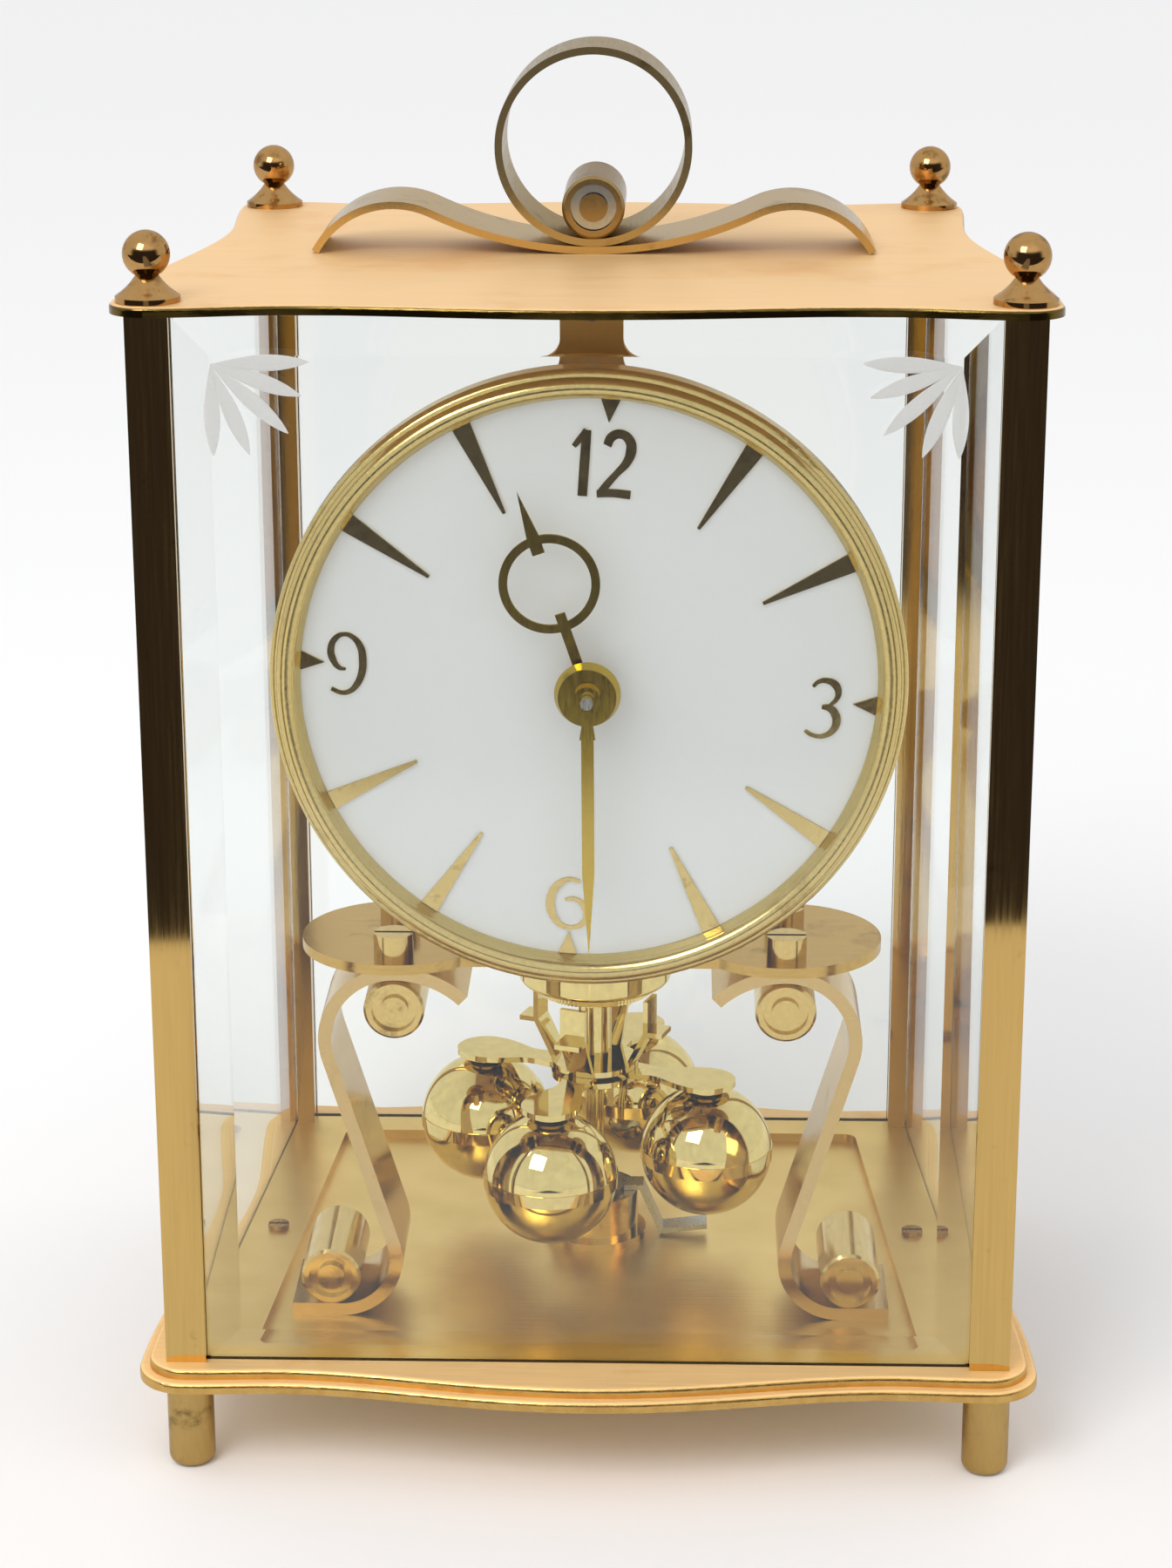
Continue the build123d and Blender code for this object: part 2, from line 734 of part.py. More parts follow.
def support(side):
    """One S strip, on the left for side -1 and on the right for side 1."""
    tail_start = polar(tail_middle, tail_path, 90 + tail_angle)
    tail_half = polar(tail_middle, tail_path, 90 + tail_angle / 2)
    crown = (crown_x, platform_bottom - strip_thickness / 2)
    crown_half = polar(crown_middle, crown_path, (90 + lean_bearing) / 2)
    lean_top = polar(crown_middle, crown_path, lean_bearing)
    lean_foot = polar(foot_middle, foot_path, lean_bearing + 180)
    foot_half = polar(foot_middle, foot_path, (lean_bearing + 180 + 270) / 2)
    foot_end = (foot_middle[0], window_floor + strip_thickness / 2)
    flat_end = (strip_spread / 2, window_floor + strip_thickness / 2)
    path = (tail_start, tail_half, crown, crown_half, lean_top, lean_foot, foot_half, foot_end, flat_end)
    points = [(side * x, z) for x, z in path]
    with BuildPart() as strip:
        with BuildSketch(face_on((0, 0), -strip_front + strip_width)):
            with BuildLine():
                ThreePointArc(points[0], points[1], points[2])
                ThreePointArc(points[2], points[3], points[4])
                Line(points[4], points[5])
                ThreePointArc(points[5], points[6], points[7])
                Line(points[7], points[8])
            trace(line_width=strip_thickness)
        extrude(amount=strip_width)
        for y in support_screw_ys:
            add(pin(side * lower_roll_x, y, window_floor, lower_roll_z, screw_hole), mode=Mode.SUBTRACT)
        for y in platform_screw_ys:
            add(pin(side * crown_x, y, upper_roll_z, platform_bottom, screw_hole), mode=Mode.SUBTRACT)
    return strip.part


with BuildPart() as left_support:
    add(support(-1))
with BuildPart() as right_support:
    add(support(1))

# Rolls in the crooks of the supports
roll_front = -strip_front - roll_proud
roll_length = strip_width + 2 * roll_proud
with BuildPart() as support_rolls:
    for side in (-1, 1):
        add(turned_roll((side * crown_x, upper_roll_z), support_roll_diameter, roll_front, roll_length))
        add(turned_roll((side * lower_roll_x, lower_roll_z), support_roll_diameter, roll_front,
                        roll_length))
    for side in (-1, 1):
        for y in platform_screw_ys:
            upper_rim = upper_roll_z + support_roll_diameter / 2
            add(pin(side * crown_x, y, upper_rim - screw_bite - fit, upper_rim, screw_hole),
                mode=Mode.SUBTRACT)
        for y in support_screw_ys:
            lower_rim = lower_roll_z - support_roll_diameter / 2
            add(pin(side * lower_roll_x, y, lower_rim, lower_rim + screw_bite + fit, screw_hole),
                mode=Mode.SUBTRACT)

# Platform: two round lobes and a bridge that carries the movement
bridge_front = front_plate_face - bridge_margin
bridge_back = back_plate_outer + bridge_margin
with BuildPart() as platform:
    with BuildSketch(Plane.XY.offset(platform_bottom)):
        with Locations((-crown_x, -lobe_forward), (crown_x, -lobe_forward)):
            Circle(lobe_radius)
        with Locations((0, (bridge_front + bridge_back) / 2)):
            Rectangle(crown_spacing, bridge_back - bridge_front)
        for side in (-1, 1):
            with Locations(*[(side * crown_x, y) for y in platform_screw_ys],
                           (side * base_pillar_spacing / 2, (front_plate_inner + back_plate_inner) / 2)):
                Circle(screw_hole / 2, mode=Mode.SUBTRACT)
    extrude(amount=platform_thickness)

# Platform screws, down through the platform and the strips into the upper rolls
with BuildPart() as platform_screws:
    for side in (-1, 1):
        for y in platform_screw_ys:
            add(screw(side * crown_x, y, platform_top, platform_head, platform_head_height,
                      upper_roll_z + support_roll_diameter / 2 - screw_bite))

# Support screws, up through the base plate and the strips into the lower rolls
with BuildPart() as support_screws:
    for side in (-1, 1):
        for y in support_screw_ys:
            add(screw(side * lower_roll_x, y, base_bottom, screw_head, screw_head_height,
                      lower_roll_z - support_roll_diameter / 2 + screw_bite))


def plate_face(with_neck):
    """Face of a movement plate: round, with a foot and, at the back, the neck for the suspension."""
    with BuildSketch() as face:
        Circle(plate_radius)
        foot_top = -plate_radius + plate_foot_width / 2
        foot_bottom = platform_top - dial_height
        with Locations((0, (foot_top + foot_bottom) / 2)):
            Rectangle(plate_foot_width, foot_top - foot_bottom)
        if with_neck:
            shoulder_x = neck_width / 2 + shoulder_radius
            neck_foot = sqrt((plate_radius + shoulder_radius) ** 2 - shoulder_x ** 2)
            with Locations((0, neck_top / 2)):
                Rectangle(neck_width, neck_top)
            with BuildLine():
                Polyline((0, 0), (shoulder_x, neck_foot), (-shoulder_x, neck_foot), close=True)
            make_face()
            with Locations((shoulder_x, neck_foot), (-shoulder_x, neck_foot)):
                Circle(shoulder_radius, mode=Mode.SUBTRACT)
    return face.sketch


# Front plate, with the stud of the minute wheel
arbor_hole = arbor_diameter + 2 * fit
bracket_hole = bracket_screw_diameter + 2 * fit
with BuildPart() as front_plate:
    with BuildSketch(face_on(centre, front_plate_inner)):
        add(plate_face(False))
    extrude(amount=plate_thickness)
    for place in (second, first, third, escape, anchor_place, *pillar_places, *dial_foot_places):
        add(bar(place, front_plate_face, front_plate_inner, 2 * pivot_hole), mode=Mode.SUBTRACT)
    for place in (centre, barrel_place):
        add(bar(place, front_plate_face, front_plate_inner, arbor_hole), mode=Mode.SUBTRACT)
    add(bar(minute_place, dial_back + end_shake, front_plate_face, front_arbor_diameter))

# Back plate
barrel_bore = barrel_arbor_diameter + 2 * fit
saddle_screw_place = (0, dial_height + neck_top - saddle_drop - saddle_height / 2)
with BuildPart() as back_plate:
    with BuildSketch(face_on(centre, back_plate_outer)):
        add(plate_face(True))
    extrude(amount=plate_thickness)
    for place in (centre, second, first, third, escape, *pillar_places):
        add(bar(place, back_plate_inner, back_plate_outer, 2 * pivot_hole), mode=Mode.SUBTRACT)
    add(bar(anchor_place, back_plate_inner, back_plate_outer, arbor_hole), mode=Mode.SUBTRACT)
    add(bar(barrel_place, back_plate_inner, back_plate_outer, barrel_bore), mode=Mode.SUBTRACT)
    for place in (saddle_screw_place, click_place):
        add(bar(place, back_plate_inner, back_plate_outer, bracket_hole), mode=Mode.SUBTRACT)

# Pillars between the plates: four near the rim and two on the platform
base_screw_y = (front_plate_inner + back_plate_inner) / 2
with BuildPart() as pillars:
    for place in pillar_places:
        add(bar(place, front_plate_inner, back_plate_inner, pillar_diameter))
        add(bar(place, front_plate_face, back_plate_outer, pivot_diameter))
    for x, z in base_pillar_places:
        add(bar((x, z), front_plate_inner, back_plate_inner, base_pillar_diameter))
        add(pin(x, base_screw_y, z - base_pillar_diameter / 2, z, screw_hole), mode=Mode.SUBTRACT)

# Movement screws, up through the platform into the lower pillars
with BuildPart() as movement_screws:
    for x, z in base_pillar_places:
        add(screw(x, base_screw_y, platform_bottom, screw_head, screw_head_height, z - fit))

# Dial, on three feet on the front plate
dial_radius = bezel_outer / 2 - bezel_lip - dial_rebate
hour_pipe_inner = front_arbor_diameter / 2 + fit + pipe_wall + fit
hour_pipe_outer = hour_pipe_inner + pipe_wall
with BuildPart() as dial:
    with BuildSketch(face_on(centre, dial_back)):
        Circle(dial_radius)
        Circle(hour_pipe_outer + dial_rebate, mode=Mode.SUBTRACT)
    extrude(amount=dial_thickness)
    for place in dial_foot_places:
        add(bar(place, dial_back, front_plate_face, dial_foot_diameter))
        add(bar(place, front_plate_face, front_plate_inner, pivot_diameter))

# Bezel: a half-round ring, a step and a wall round the dial's edge
with BuildPart() as bezel:
    with BuildSketch(along(centre)):
        with BuildLine():
            ring_middle_r = (bezel_ring_inner + bezel_ring_outer) / 4
            ring_foot = dial_face - bezel_step
            Polyline((dial_face, bezel_outer / 2 - bezel_lip), (dial_face, bezel_opening / 2),
                     (dial_face - bezel_lip, bezel_opening / 2), (ring_foot, bezel_ring_inner / 2))
            ThreePointArc((ring_foot, bezel_ring_inner / 2), (dial_face - bezel_crest, ring_middle_r),
                          (ring_foot, bezel_ring_outer / 2))
            step_round = (bezel_outer - bezel_ring_outer) / 2
            wall_front = ring_foot + step_round
            RadiusArc((ring_foot, bezel_ring_outer / 2), (wall_front, bezel_outer / 2), step_round)
            Polyline((wall_front, bezel_outer / 2), (dial_face + bezel_depth, bezel_outer / 2),
                     (dial_face + bezel_depth, bezel_outer / 2 - bezel_lip),
                     (dial_face, bezel_outer / 2 - bezel_lip))
        make_face()
    revolve(axis=Axis((centre[0], 0, centre[1]), (0, 1, 0)))

# Hour markers: long wedges, and short ones at the quarters
marker_foot = bezel_opening / 2 - fit
with BuildPart() as hour_markers:
    for hour in range(12):
        turn = radians(dial_turn + 90 - 30 * hour)
        reach = marker_foot - (marker_length if hour % 3 else quarter_marker_length)
        half = asin(marker_width / 2 / marker_foot)
        with BuildSketch(face_on(centre, dial_face)):
            with BuildLine():
                tip_half = marker_tip / 2 / reach
                tip_leans = (-tip_half, tip_half) if hour % 3 else (0,)
                tips = [polar((0, 0), reach, degrees(turn + lean)) for lean in tip_leans]
                roots = [polar((0, 0), marker_foot, degrees(turn + lean)) for lean in (half, -half)]
                Polyline(*tips, *roots, close=True)
            make_face()
        extrude(amount=marker_height)


def toothed(place, layer, teeth, module, phase, thickness, leaves=False):
    """A toothed disc whose front face lies at the layer."""
    with BuildPart() as disc:
        with BuildSketch(face_on(place, layer + thickness)):
            add(outline_of(tooth_points(teeth, module, phase, leaves)))
        extrude(amount=thickness)
    return disc.part


def pinion_layer(wheel_layer):
    """Front face of the pinion that reaches past both sides of a wheel."""
    return front_plate_inner + wheel_layer - (pinion_length - wheel_thickness) / 2


# Centre wheel on the arbor that comes out at the hands; its pinion is driven by the second wheel
with BuildPart() as centre_wheel:
    add(bar(centre, front_plate_face, arbor_back, arbor_diameter))
    add(bar(centre, dial_face - arbor_end, front_plate_face, front_arbor_diameter))
    add(bar(centre, arbor_back, back_plate_outer, pivot_diameter))
    add(toothed(centre, front_plate_inner + centre_wheel_layer, centre_teeth, centre_module,
                bearing_to(centre, third), wheel_thickness))
    add(toothed(centre, pinion_layer(second_wheel_layer), low_leaves, train_module,
                mating_phase(second, centre, low_leaves), pinion_length, True))

# Third wheel
with BuildPart() as third_wheel:
    add(arbor(third, arbor_front, arbor_back))
    add(toothed(third, front_plate_inner + third_wheel_layer, third_teeth, escape_module,
                bearing_to(third, escape), wheel_thickness))
    add(toothed(third, front_plate_inner + end_shake, high_leaves, centre_module,
                mating_phase(centre, third, high_leaves), pinion_length, True))

# Escape wheel
with BuildPart() as escape_wheel:
    add(arbor(escape, arbor_front, arbor_back))
    add(toothed(escape, pinion_layer(third_wheel_layer), high_leaves, escape_module,
                mating_phase(third, escape, high_leaves), pinion_length, True))
    with BuildSketch(face_on(escape, front_plate_inner + escape_layer + wheel_thickness)):
        escape_phase = 90 + pallet_half_angle - 90 / escape_teeth
        add(outline_of(saw_points(escape_teeth, escape_radius, escape_radius - escape_depth, escape_phase,
                                  escape_lean)))
    extrude(amount=wheel_thickness)

# Second wheel
with BuildPart() as second_wheel:
    add(arbor(second, arbor_front, arbor_back))
    add(toothed(second, front_plate_inner + second_wheel_layer, second_teeth, train_module,
                bearing_to(second, centre), wheel_thickness))
    add(toothed(second, back_plate_inner - end_shake - pinion_length, low_leaves, train_module,
                mating_phase(first, second, low_leaves), pinion_length, True))

# First wheel
with BuildPart() as first_wheel:
    add(arbor(first, arbor_front, arbor_back))
    add(toothed(first, front_plate_inner + first_wheel_layer, first_teeth, train_module,
                bearing_to(first, second), wheel_thickness))
    add(toothed(first, front_plate_inner + first_wheel_layer - pinion_length, low_leaves, train_module,
                mating_phase(barrel_place, first, low_leaves), pinion_length, True))

# Barrel: a drum with the great wheel at its back
barrel_front = front_plate_inner + barrel_front_layer
barrel_back = barrel_front + barrel_length
barrel_inner = barrel_drum / 2 - barrel_wall
with BuildPart() as barrel:
    add(bar(barrel_place, barrel_front, barrel_back, barrel_drum))
    add(toothed(barrel_place, barrel_back - wheel_thickness, barrel_teeth, train_module,
                bearing_to(barrel_place, first), wheel_thickness))
    add(bar(barrel_place, barrel_front + barrel_wall, barrel_back - wheel_thickness, 2 * barrel_inner),
        mode=Mode.SUBTRACT)
    add(bar(barrel_place, barrel_front, barrel_back, barrel_bore), mode=Mode.SUBTRACT)

# Mainspring: a flat strip wound from the arbor out to the barrel's wall, in half turns
spring_inner = barrel_bore / 2 + spring_margin
spring_outer = barrel_inner - spring_margin
spring_step = (spring_outer - spring_inner - spring_strip) / (2 * spring_turns)
with BuildPart() as mainspring:
    with BuildSketch(face_on(barrel_place, barrel_back - wheel_thickness - spring_margin)):
        with BuildLine():
            for half_turn in range(2 * spring_turns):
                near = spring_inner + spring_strip / 2 + half_turn * spring_step
                side = 1 if half_turn % 2 == 0 else -1
                offset = spring_step / 2 * side
                ThreePointArc((side * near, 0), (-offset, side * (near + spring_step / 2)),
                              (-side * (near + spring_step), 0))
        trace(line_width=spring_strip)
    extrude(amount=barrel_length - barrel_wall - wheel_thickness - 2 * spring_margin)

# Barrel arbor, squared at the back for the key
ratchet_front = back_plate_outer + ratchet_gap
ratchet_back = ratchet_front + ratchet_thickness
with BuildPart() as barrel_arbor:
    add(bar(barrel_place, arbor_front, ratchet_front, barrel_arbor_diameter))
    add(bar(barrel_place, front_plate_face, arbor_front, arbor_diameter))
    with BuildSketch(face_on(barrel_place, ratchet_back + winding_length)):
        Rectangle(winding_square, winding_square)
    extrude(amount=ratchet_thickness + winding_length)

# Ratchet wheel on the square
click_bearing = bearing_to(barrel_place, click_place)
with BuildPart() as ratchet_wheel:
    with BuildSketch(face_on(barrel_place, ratchet_back)):
        add(outline_of(saw_points(ratchet_teeth, ratchet_radius, ratchet_radius - ratchet_depth,
                                  click_bearing, ratchet_lean)))
        Rectangle(winding_square + 2 * fit, winding_square + 2 * fit, mode=Mode.SUBTRACT)
    extrude(amount=ratchet_thickness)

# Click, pointed into the ratchet's teeth
with BuildPart() as click:
    with BuildSketch(Plane(origin=(click_place[0], ratchet_back, click_place[1]),
                           x_dir=(-cos(radians(click_bearing)), 0, -sin(radians(click_bearing))),
                           z_dir=(0, -1, 0))):
        Circle(click_width)
        with BuildLine():
            Polyline((0, click_width / 2), (click_length, click_nose / 2), (click_length, -click_nose / 2),
                     (0, -click_width / 2), close=True)
        make_face()
        Circle(bracket_hole / 2, mode=Mode.SUBTRACT)
    extrude(amount=ratchet_thickness)

# Screws of the click and of the saddle
saddle_back = pendulum_back + saddle_end
with BuildPart() as bracket_screws:
    add(bar(click_place, back_plate_inner, ratchet_back + ratchet_gap, bracket_screw_diameter))
    add(bar(click_place, ratchet_back + ratchet_gap, ratchet_back + ratchet_gap + ratchet_thickness,
            2 * bracket_screw_diameter))
    add(bar(saddle_screw_place, back_plate_inner, back_plate_outer + saddle_bite, bracket_screw_diameter))

# Anchor: two arms over the escape wheel, and the pin that the fork moves
pin_y = back_plate_outer + pin_back
anchor_layer = front_plate_inner + escape_layer
with BuildPart() as anchor:
    add(bar(anchor_place, arbor_front, pin_y + pin_diameter, arbor_diameter))
    add(bar(anchor_place, front_plate_face, arbor_front, pivot_diameter))
    with BuildSketch(face_on(anchor_place, anchor_layer + anchor_thickness)):
        Circle(arbor_diameter)
        for side in (-1, 1):
            tip = polar((0, -anchor_rise + escape_rise), pallet_reach, 90 + side * pallet_half_angle)
            elbow = polar((0, -anchor_rise + escape_rise), pallet_reach + 2 * pallet_thickness,
                          90 + side * pallet_half_angle)
            with BuildLine():
                Polyline((0, 0), (elbow[0], elbow[1]), (tip[0], tip[1]))
            trace(line_width=pallet_thickness)
    extrude(amount=anchor_thickness)
    add(pin(anchor_place[0], pin_y, anchor_place[1], anchor_place[1] + pin_height, pin_diameter))

# Suspension saddle, on the neck of the back plate
saddle_top = dial_height + neck_top - saddle_drop
saddle_bottom = saddle_top - saddle_height
with BuildPart() as suspension_saddle:
    with BuildSketch(Plane.XY.offset(saddle_bottom)):
        with Locations((0, (back_plate_outer + saddle_back) / 2)):
            Rectangle(saddle_width, saddle_back - back_plate_outer)
        with Locations((0, pendulum_back)):
            Circle(ribbon_room, mode=Mode.SUBTRACT)
    extrude(amount=saddle_height)
    fillet(suspension_saddle.edges().filter_by(Axis.Z).group_by(Axis.Y)[-1], saddle_round)
    add(bar(saddle_screw_place, back_plate_outer, back_plate_outer + saddle_bite + fit,
            bracket_hole), mode=Mode.SUBTRACT)

# Suspension spring: a thin ribbon down to the pendulum's hook
disc_top = disc_height + disc_thickness
hook_top = disc_top + 2 * hook_height
ribbon_bottom = hook_top - hook_height / 2
with BuildPart() as suspension_spring:
    with BuildSketch(Plane.XY.offset(ribbon_bottom)):
        with Locations((0, pendulum_back)):
            Rectangle(ribbon_width, ribbon_thickness)
    extrude(amount=saddle_top - ribbon_bottom)

# Fork, clamped on the ribbon, with a tine on each side of the anchor's pin
fork_z = anchor_place[1] + pin_height - fork_block
tine_offset = pin_diameter / 2 + fork_gap + tine_thickness / 2
tine_front = pin_y - pin_diameter
with BuildPart() as fork:
    with BuildSketch(Plane.XY.offset(fork_z)):
        with Locations((0, pendulum_back)):
            Rectangle(fork_block, fork_block)
            Circle(ribbon_room, mode=Mode.SUBTRACT)
    extrude(amount=fork_block)
    with BuildSketch(Plane.XY.offset(fork_z)):
        with Locations((-tine_offset, (tine_front + pendulum_back - fork_block / 2) / 2),
                       (tine_offset, (tine_front + pendulum_back - fork_block / 2) / 2)):
            Rectangle(tine_thickness, pendulum_back - fork_block / 2 - tine_front)
    extrude(amount=tine_thickness)

# Motion work: cannon pinion, minute wheel and hour wheel
motion_layer = front_plate_face - end_shake - motion_wheel_thickness
hour_layer = motion_layer - end_shake - motion_wheel_thickness
hour_hand_y = dial_face - hour_hand_lift
minute_hand_y = dial_face - minute_hand_lift
cannon_bore = front_arbor_diameter + 2 * fit
cannon_outer = cannon_bore + 2 * pipe_wall
with BuildPart() as cannon_pinion:
    add(bar(centre, minute_hand_y, front_plate_face - end_shake, cannon_outer))
    add(toothed(centre, motion_layer, cannon_leaves, motion_module,
                mating_phase(minute_place, centre, cannon_leaves), motion_wheel_thickness, True))
    add(bar(centre, minute_hand_y, front_plate_face - end_shake, cannon_bore), mode=Mode.SUBTRACT)

with BuildPart() as minute_wheel:
    add(toothed(minute_place, motion_layer, minute_teeth, motion_module, bearing_to(minute_place, centre),
                motion_wheel_thickness))
    add(toothed(minute_place, hour_layer - end_shake, minute_leaves, hour_module,
                mating_phase(centre, minute_place, minute_leaves), motion_wheel_thickness + 2 * end_shake,
                True))
    add(bar(minute_place, hour_layer - end_shake, front_plate_face - end_shake, cannon_bore),
        mode=Mode.SUBTRACT)

with BuildPart() as hour_wheel:
    add(bar(centre, hour_hand_y, hour_layer + motion_wheel_thickness, 2 * hour_pipe_outer))
    add(toothed(centre, hour_layer, hour_teeth, hour_module, bearing_to(centre, minute_place),
                motion_wheel_thickness))
    add(bar(centre, hour_hand_y, hour_layer + motion_wheel_thickness, 2 * hour_pipe_inner),
        mode=Mode.SUBTRACT)

# Hour hand: a stem, a ring and a spear
with BuildPart() as hour_hand:
    hour_lean = radians(hour_angle)
    with BuildSketch(Plane(origin=(centre[0], hour_hand_y, centre[1]),
                           x_dir=(cos(hour_lean), 0, sin(hour_lean)), z_dir=(0, -1, 0))):
        Circle(hub_diameter / 2)
        ring_inner = hour_ring_diameter / 2 - hour_ring_band
        ring_head_z = hour_ring_reach + hour_ring_diameter / 2
        with Locations((0, hour_ring_reach)):
            Circle(hour_ring_diameter / 2)
            Circle(ring_inner, mode=Mode.SUBTRACT)
        with BuildLine():
            stem = hour_stem_width / 2
            stem_end = hour_ring_reach - ring_inner + hour_tab
            Polyline((-stem, 0), (stem, 0), (stem, stem_end), (-stem, stem_end), close=True)
        make_face()
        with BuildLine():
            spear = hour_spear_width / 2
            spear_foot = hour_ring_reach + ring_inner - hour_tab
            Polyline((-spear, spear_foot), (spear, spear_foot), (spear, ring_head_z), (0, hour_hand_length),
                     (-spear, ring_head_z), close=True)
        make_face()
        Circle(hour_pipe_inner + fit, mode=Mode.SUBTRACT)
    extrude(amount=hand_thickness)

# Minute hand: a slim blade with a flared collar at its root
with BuildPart() as minute_hand:
    minute_lean = radians(minute_angle)
    with BuildSketch(Plane(origin=(centre[0], minute_hand_y, centre[1]),
                           x_dir=(cos(minute_lean), 0, -sin(minute_lean)), z_dir=(0, -1, 0))):
        Circle(hub_diameter / 2)
        with BuildLine():
            collar_end = hub_diameter / 2 + collar_length
            taper_start = minute_hand_length - minute_taper
            side_points = [(collar_root / 2, 0), (collar_root / 2, hub_diameter / 2),
                           (collar_width / 2, collar_end), (minute_hand_width / 2, collar_end),
                           (minute_hand_width / 2, taper_start)]
            Polyline(*side_points, (0, minute_hand_length), *[(-x, z) for x, z in reversed(side_points)],
                     close=True)
        make_face()
        Circle(front_arbor_diameter / 2 + fit, mode=Mode.SUBTRACT)
    extrude(amount=hand_thickness)

# Cupped washer between the hands
washer_back = minute_hand_y + washer_rim
with BuildPart() as hand_washer:
    with BuildSketch(along(centre)):
        with BuildLine():
            washer_inner = cannon_outer / 2 + fit
            Polyline((minute_hand_y, washer_inner), (minute_hand_y, hub_diameter / 2),
                     (washer_back, washer_diameter / 2), (washer_back, washer_diameter / 2 - pipe_wall),
                     (minute_hand_y + pipe_wall, hub_diameter / 2 - pipe_wall),
                     (minute_hand_y + pipe_wall, washer_inner), close=True)
        make_face()
    revolve(axis=Axis((centre[0], 0, centre[1]), (0, 1, 0)))

# Hand nut
nut_back = minute_hand_y - hand_thickness
with BuildPart() as hand_nut:
    with BuildSketch(face_on(centre, nut_back)):
        Circle(nut_diameter / 2)
        Circle(front_arbor_diameter / 2 + fit, mode=Mode.SUBTRACT)
    extrude(amount=nut_height)

# Pendulum, hung on the ribbon: hook, spindle, column and the lower guide of the arms
axis_y = pendulum_back
ball_top = ball_height + ball_diameter / 2
arm_bottom = ball_top + ball_flange_height
arm_top = arm_bottom + arm_thickness
frame_bottom = arm_top + arm_slip
frame_top = frame_bottom + arm_thickness
arm_inner = guide_disc_diameter / 2 - rating_travel - arm_hold
cup_top = window_floor + cup_height
spindle_radius = spindle_diameter / 2
serration_bottom = disc_height - serration_height
with BuildPart() as pendulum_spindle:
    with BuildSketch(upright(0, axis_y)):
        with BuildLine():
            tip_z = cup_top - cup_wall - spindle_end
            guide_z = arm_bottom - arm_slip
            Polyline((0, tip_z), (spindle_tip / 2, tip_z), (spindle_tip / 2, cup_top + cup_wall),
                     (spindle_radius, cup_top + cup_wall), (spindle_radius, guide_z - arm_thickness),
                     (guide_disc_diameter / 2, guide_z - arm_thickness), (guide_disc_diameter / 2, guide_z),
                     (spindle_radius, guide_z), (spindle_radius, disc_top + end_shake),
                     (hook_block / 2, disc_top + end_shake), (hook_block / 2, hook_top), (0, hook_top),
                     close=True)
        make_face()
    revolve(axis=Axis((0, axis_y, 0), (0, 0, 1)))
    add(pin(0, axis_y, ribbon_bottom - fit, hook_top, 2 * ribbon_room), mode=Mode.SUBTRACT)

# Frame: a disc over the arms with a column and four bent ears
ear_top = serration_bottom - end_shake
ear_step = (frame_top + ear_top) / 2
with BuildPart() as pendulum_frame:
    add(pin(0, axis_y, frame_bottom, frame_top, guide_disc_diameter))
    add(pin(0, axis_y, frame_top, ear_top, column_diameter))
    for quarter in range(4):
        bearing = -90 - ball_turn + 90 * quarter
        outward = Vector(cos(radians(bearing)), sin(radians(bearing)), 0)
        across = Vector(-outward.Y, outward.X, 0)
        ear_corner = Vector(0, axis_y, 0) - across * (ear_width / 2)
        with BuildSketch(Plane(origin=ear_corner, x_dir=outward, z_dir=-across)):
            with BuildLine():
                ear_foot_z = frame_top - ear_thickness / 2
                Polyline((guide_disc_diameter / 2 - ear_thickness, ear_foot_z), (ear_radius, ear_step),
                         (ear_radius, ear_top - ear_thickness / 2))
            trace(line_width=ear_thickness)
            with BuildLine():
                Polyline((ear_radius - ear_thickness / 2, ear_step), (ear_radius + ear_tab, ear_step))
            trace(line_width=ear_thickness)
        extrude(amount=-ear_width)
    add(pin(0, axis_y, frame_bottom, ear_top + ear_thickness, spindle_diameter + 2 * fit),
        mode=Mode.SUBTRACT)

# Rating disc with the serrated ring under it
with BuildPart() as rating_disc:
    add(pin(0, axis_y, disc_height, disc_top, disc_diameter))
    fillet(rating_disc.edges().filter_by(GeomType.CIRCLE), disc_round)
    with BuildSketch(Plane.XY.offset(serration_bottom)):
        with Locations((0, axis_y)):
            serration = []
            for index in range(2 * serration_count):
                turn = pi * index / serration_count
                reach = serration_diameter / 2 - (serration_depth if index % 2 else 0)
                serration.append((reach * cos(turn), reach * sin(turn)))
            add(outline_of(serration))
    extrude(amount=serration_height)
    add(pin(0, axis_y, serration_bottom, disc_top, spindle_diameter + 2 * fit), mode=Mode.SUBTRACT)


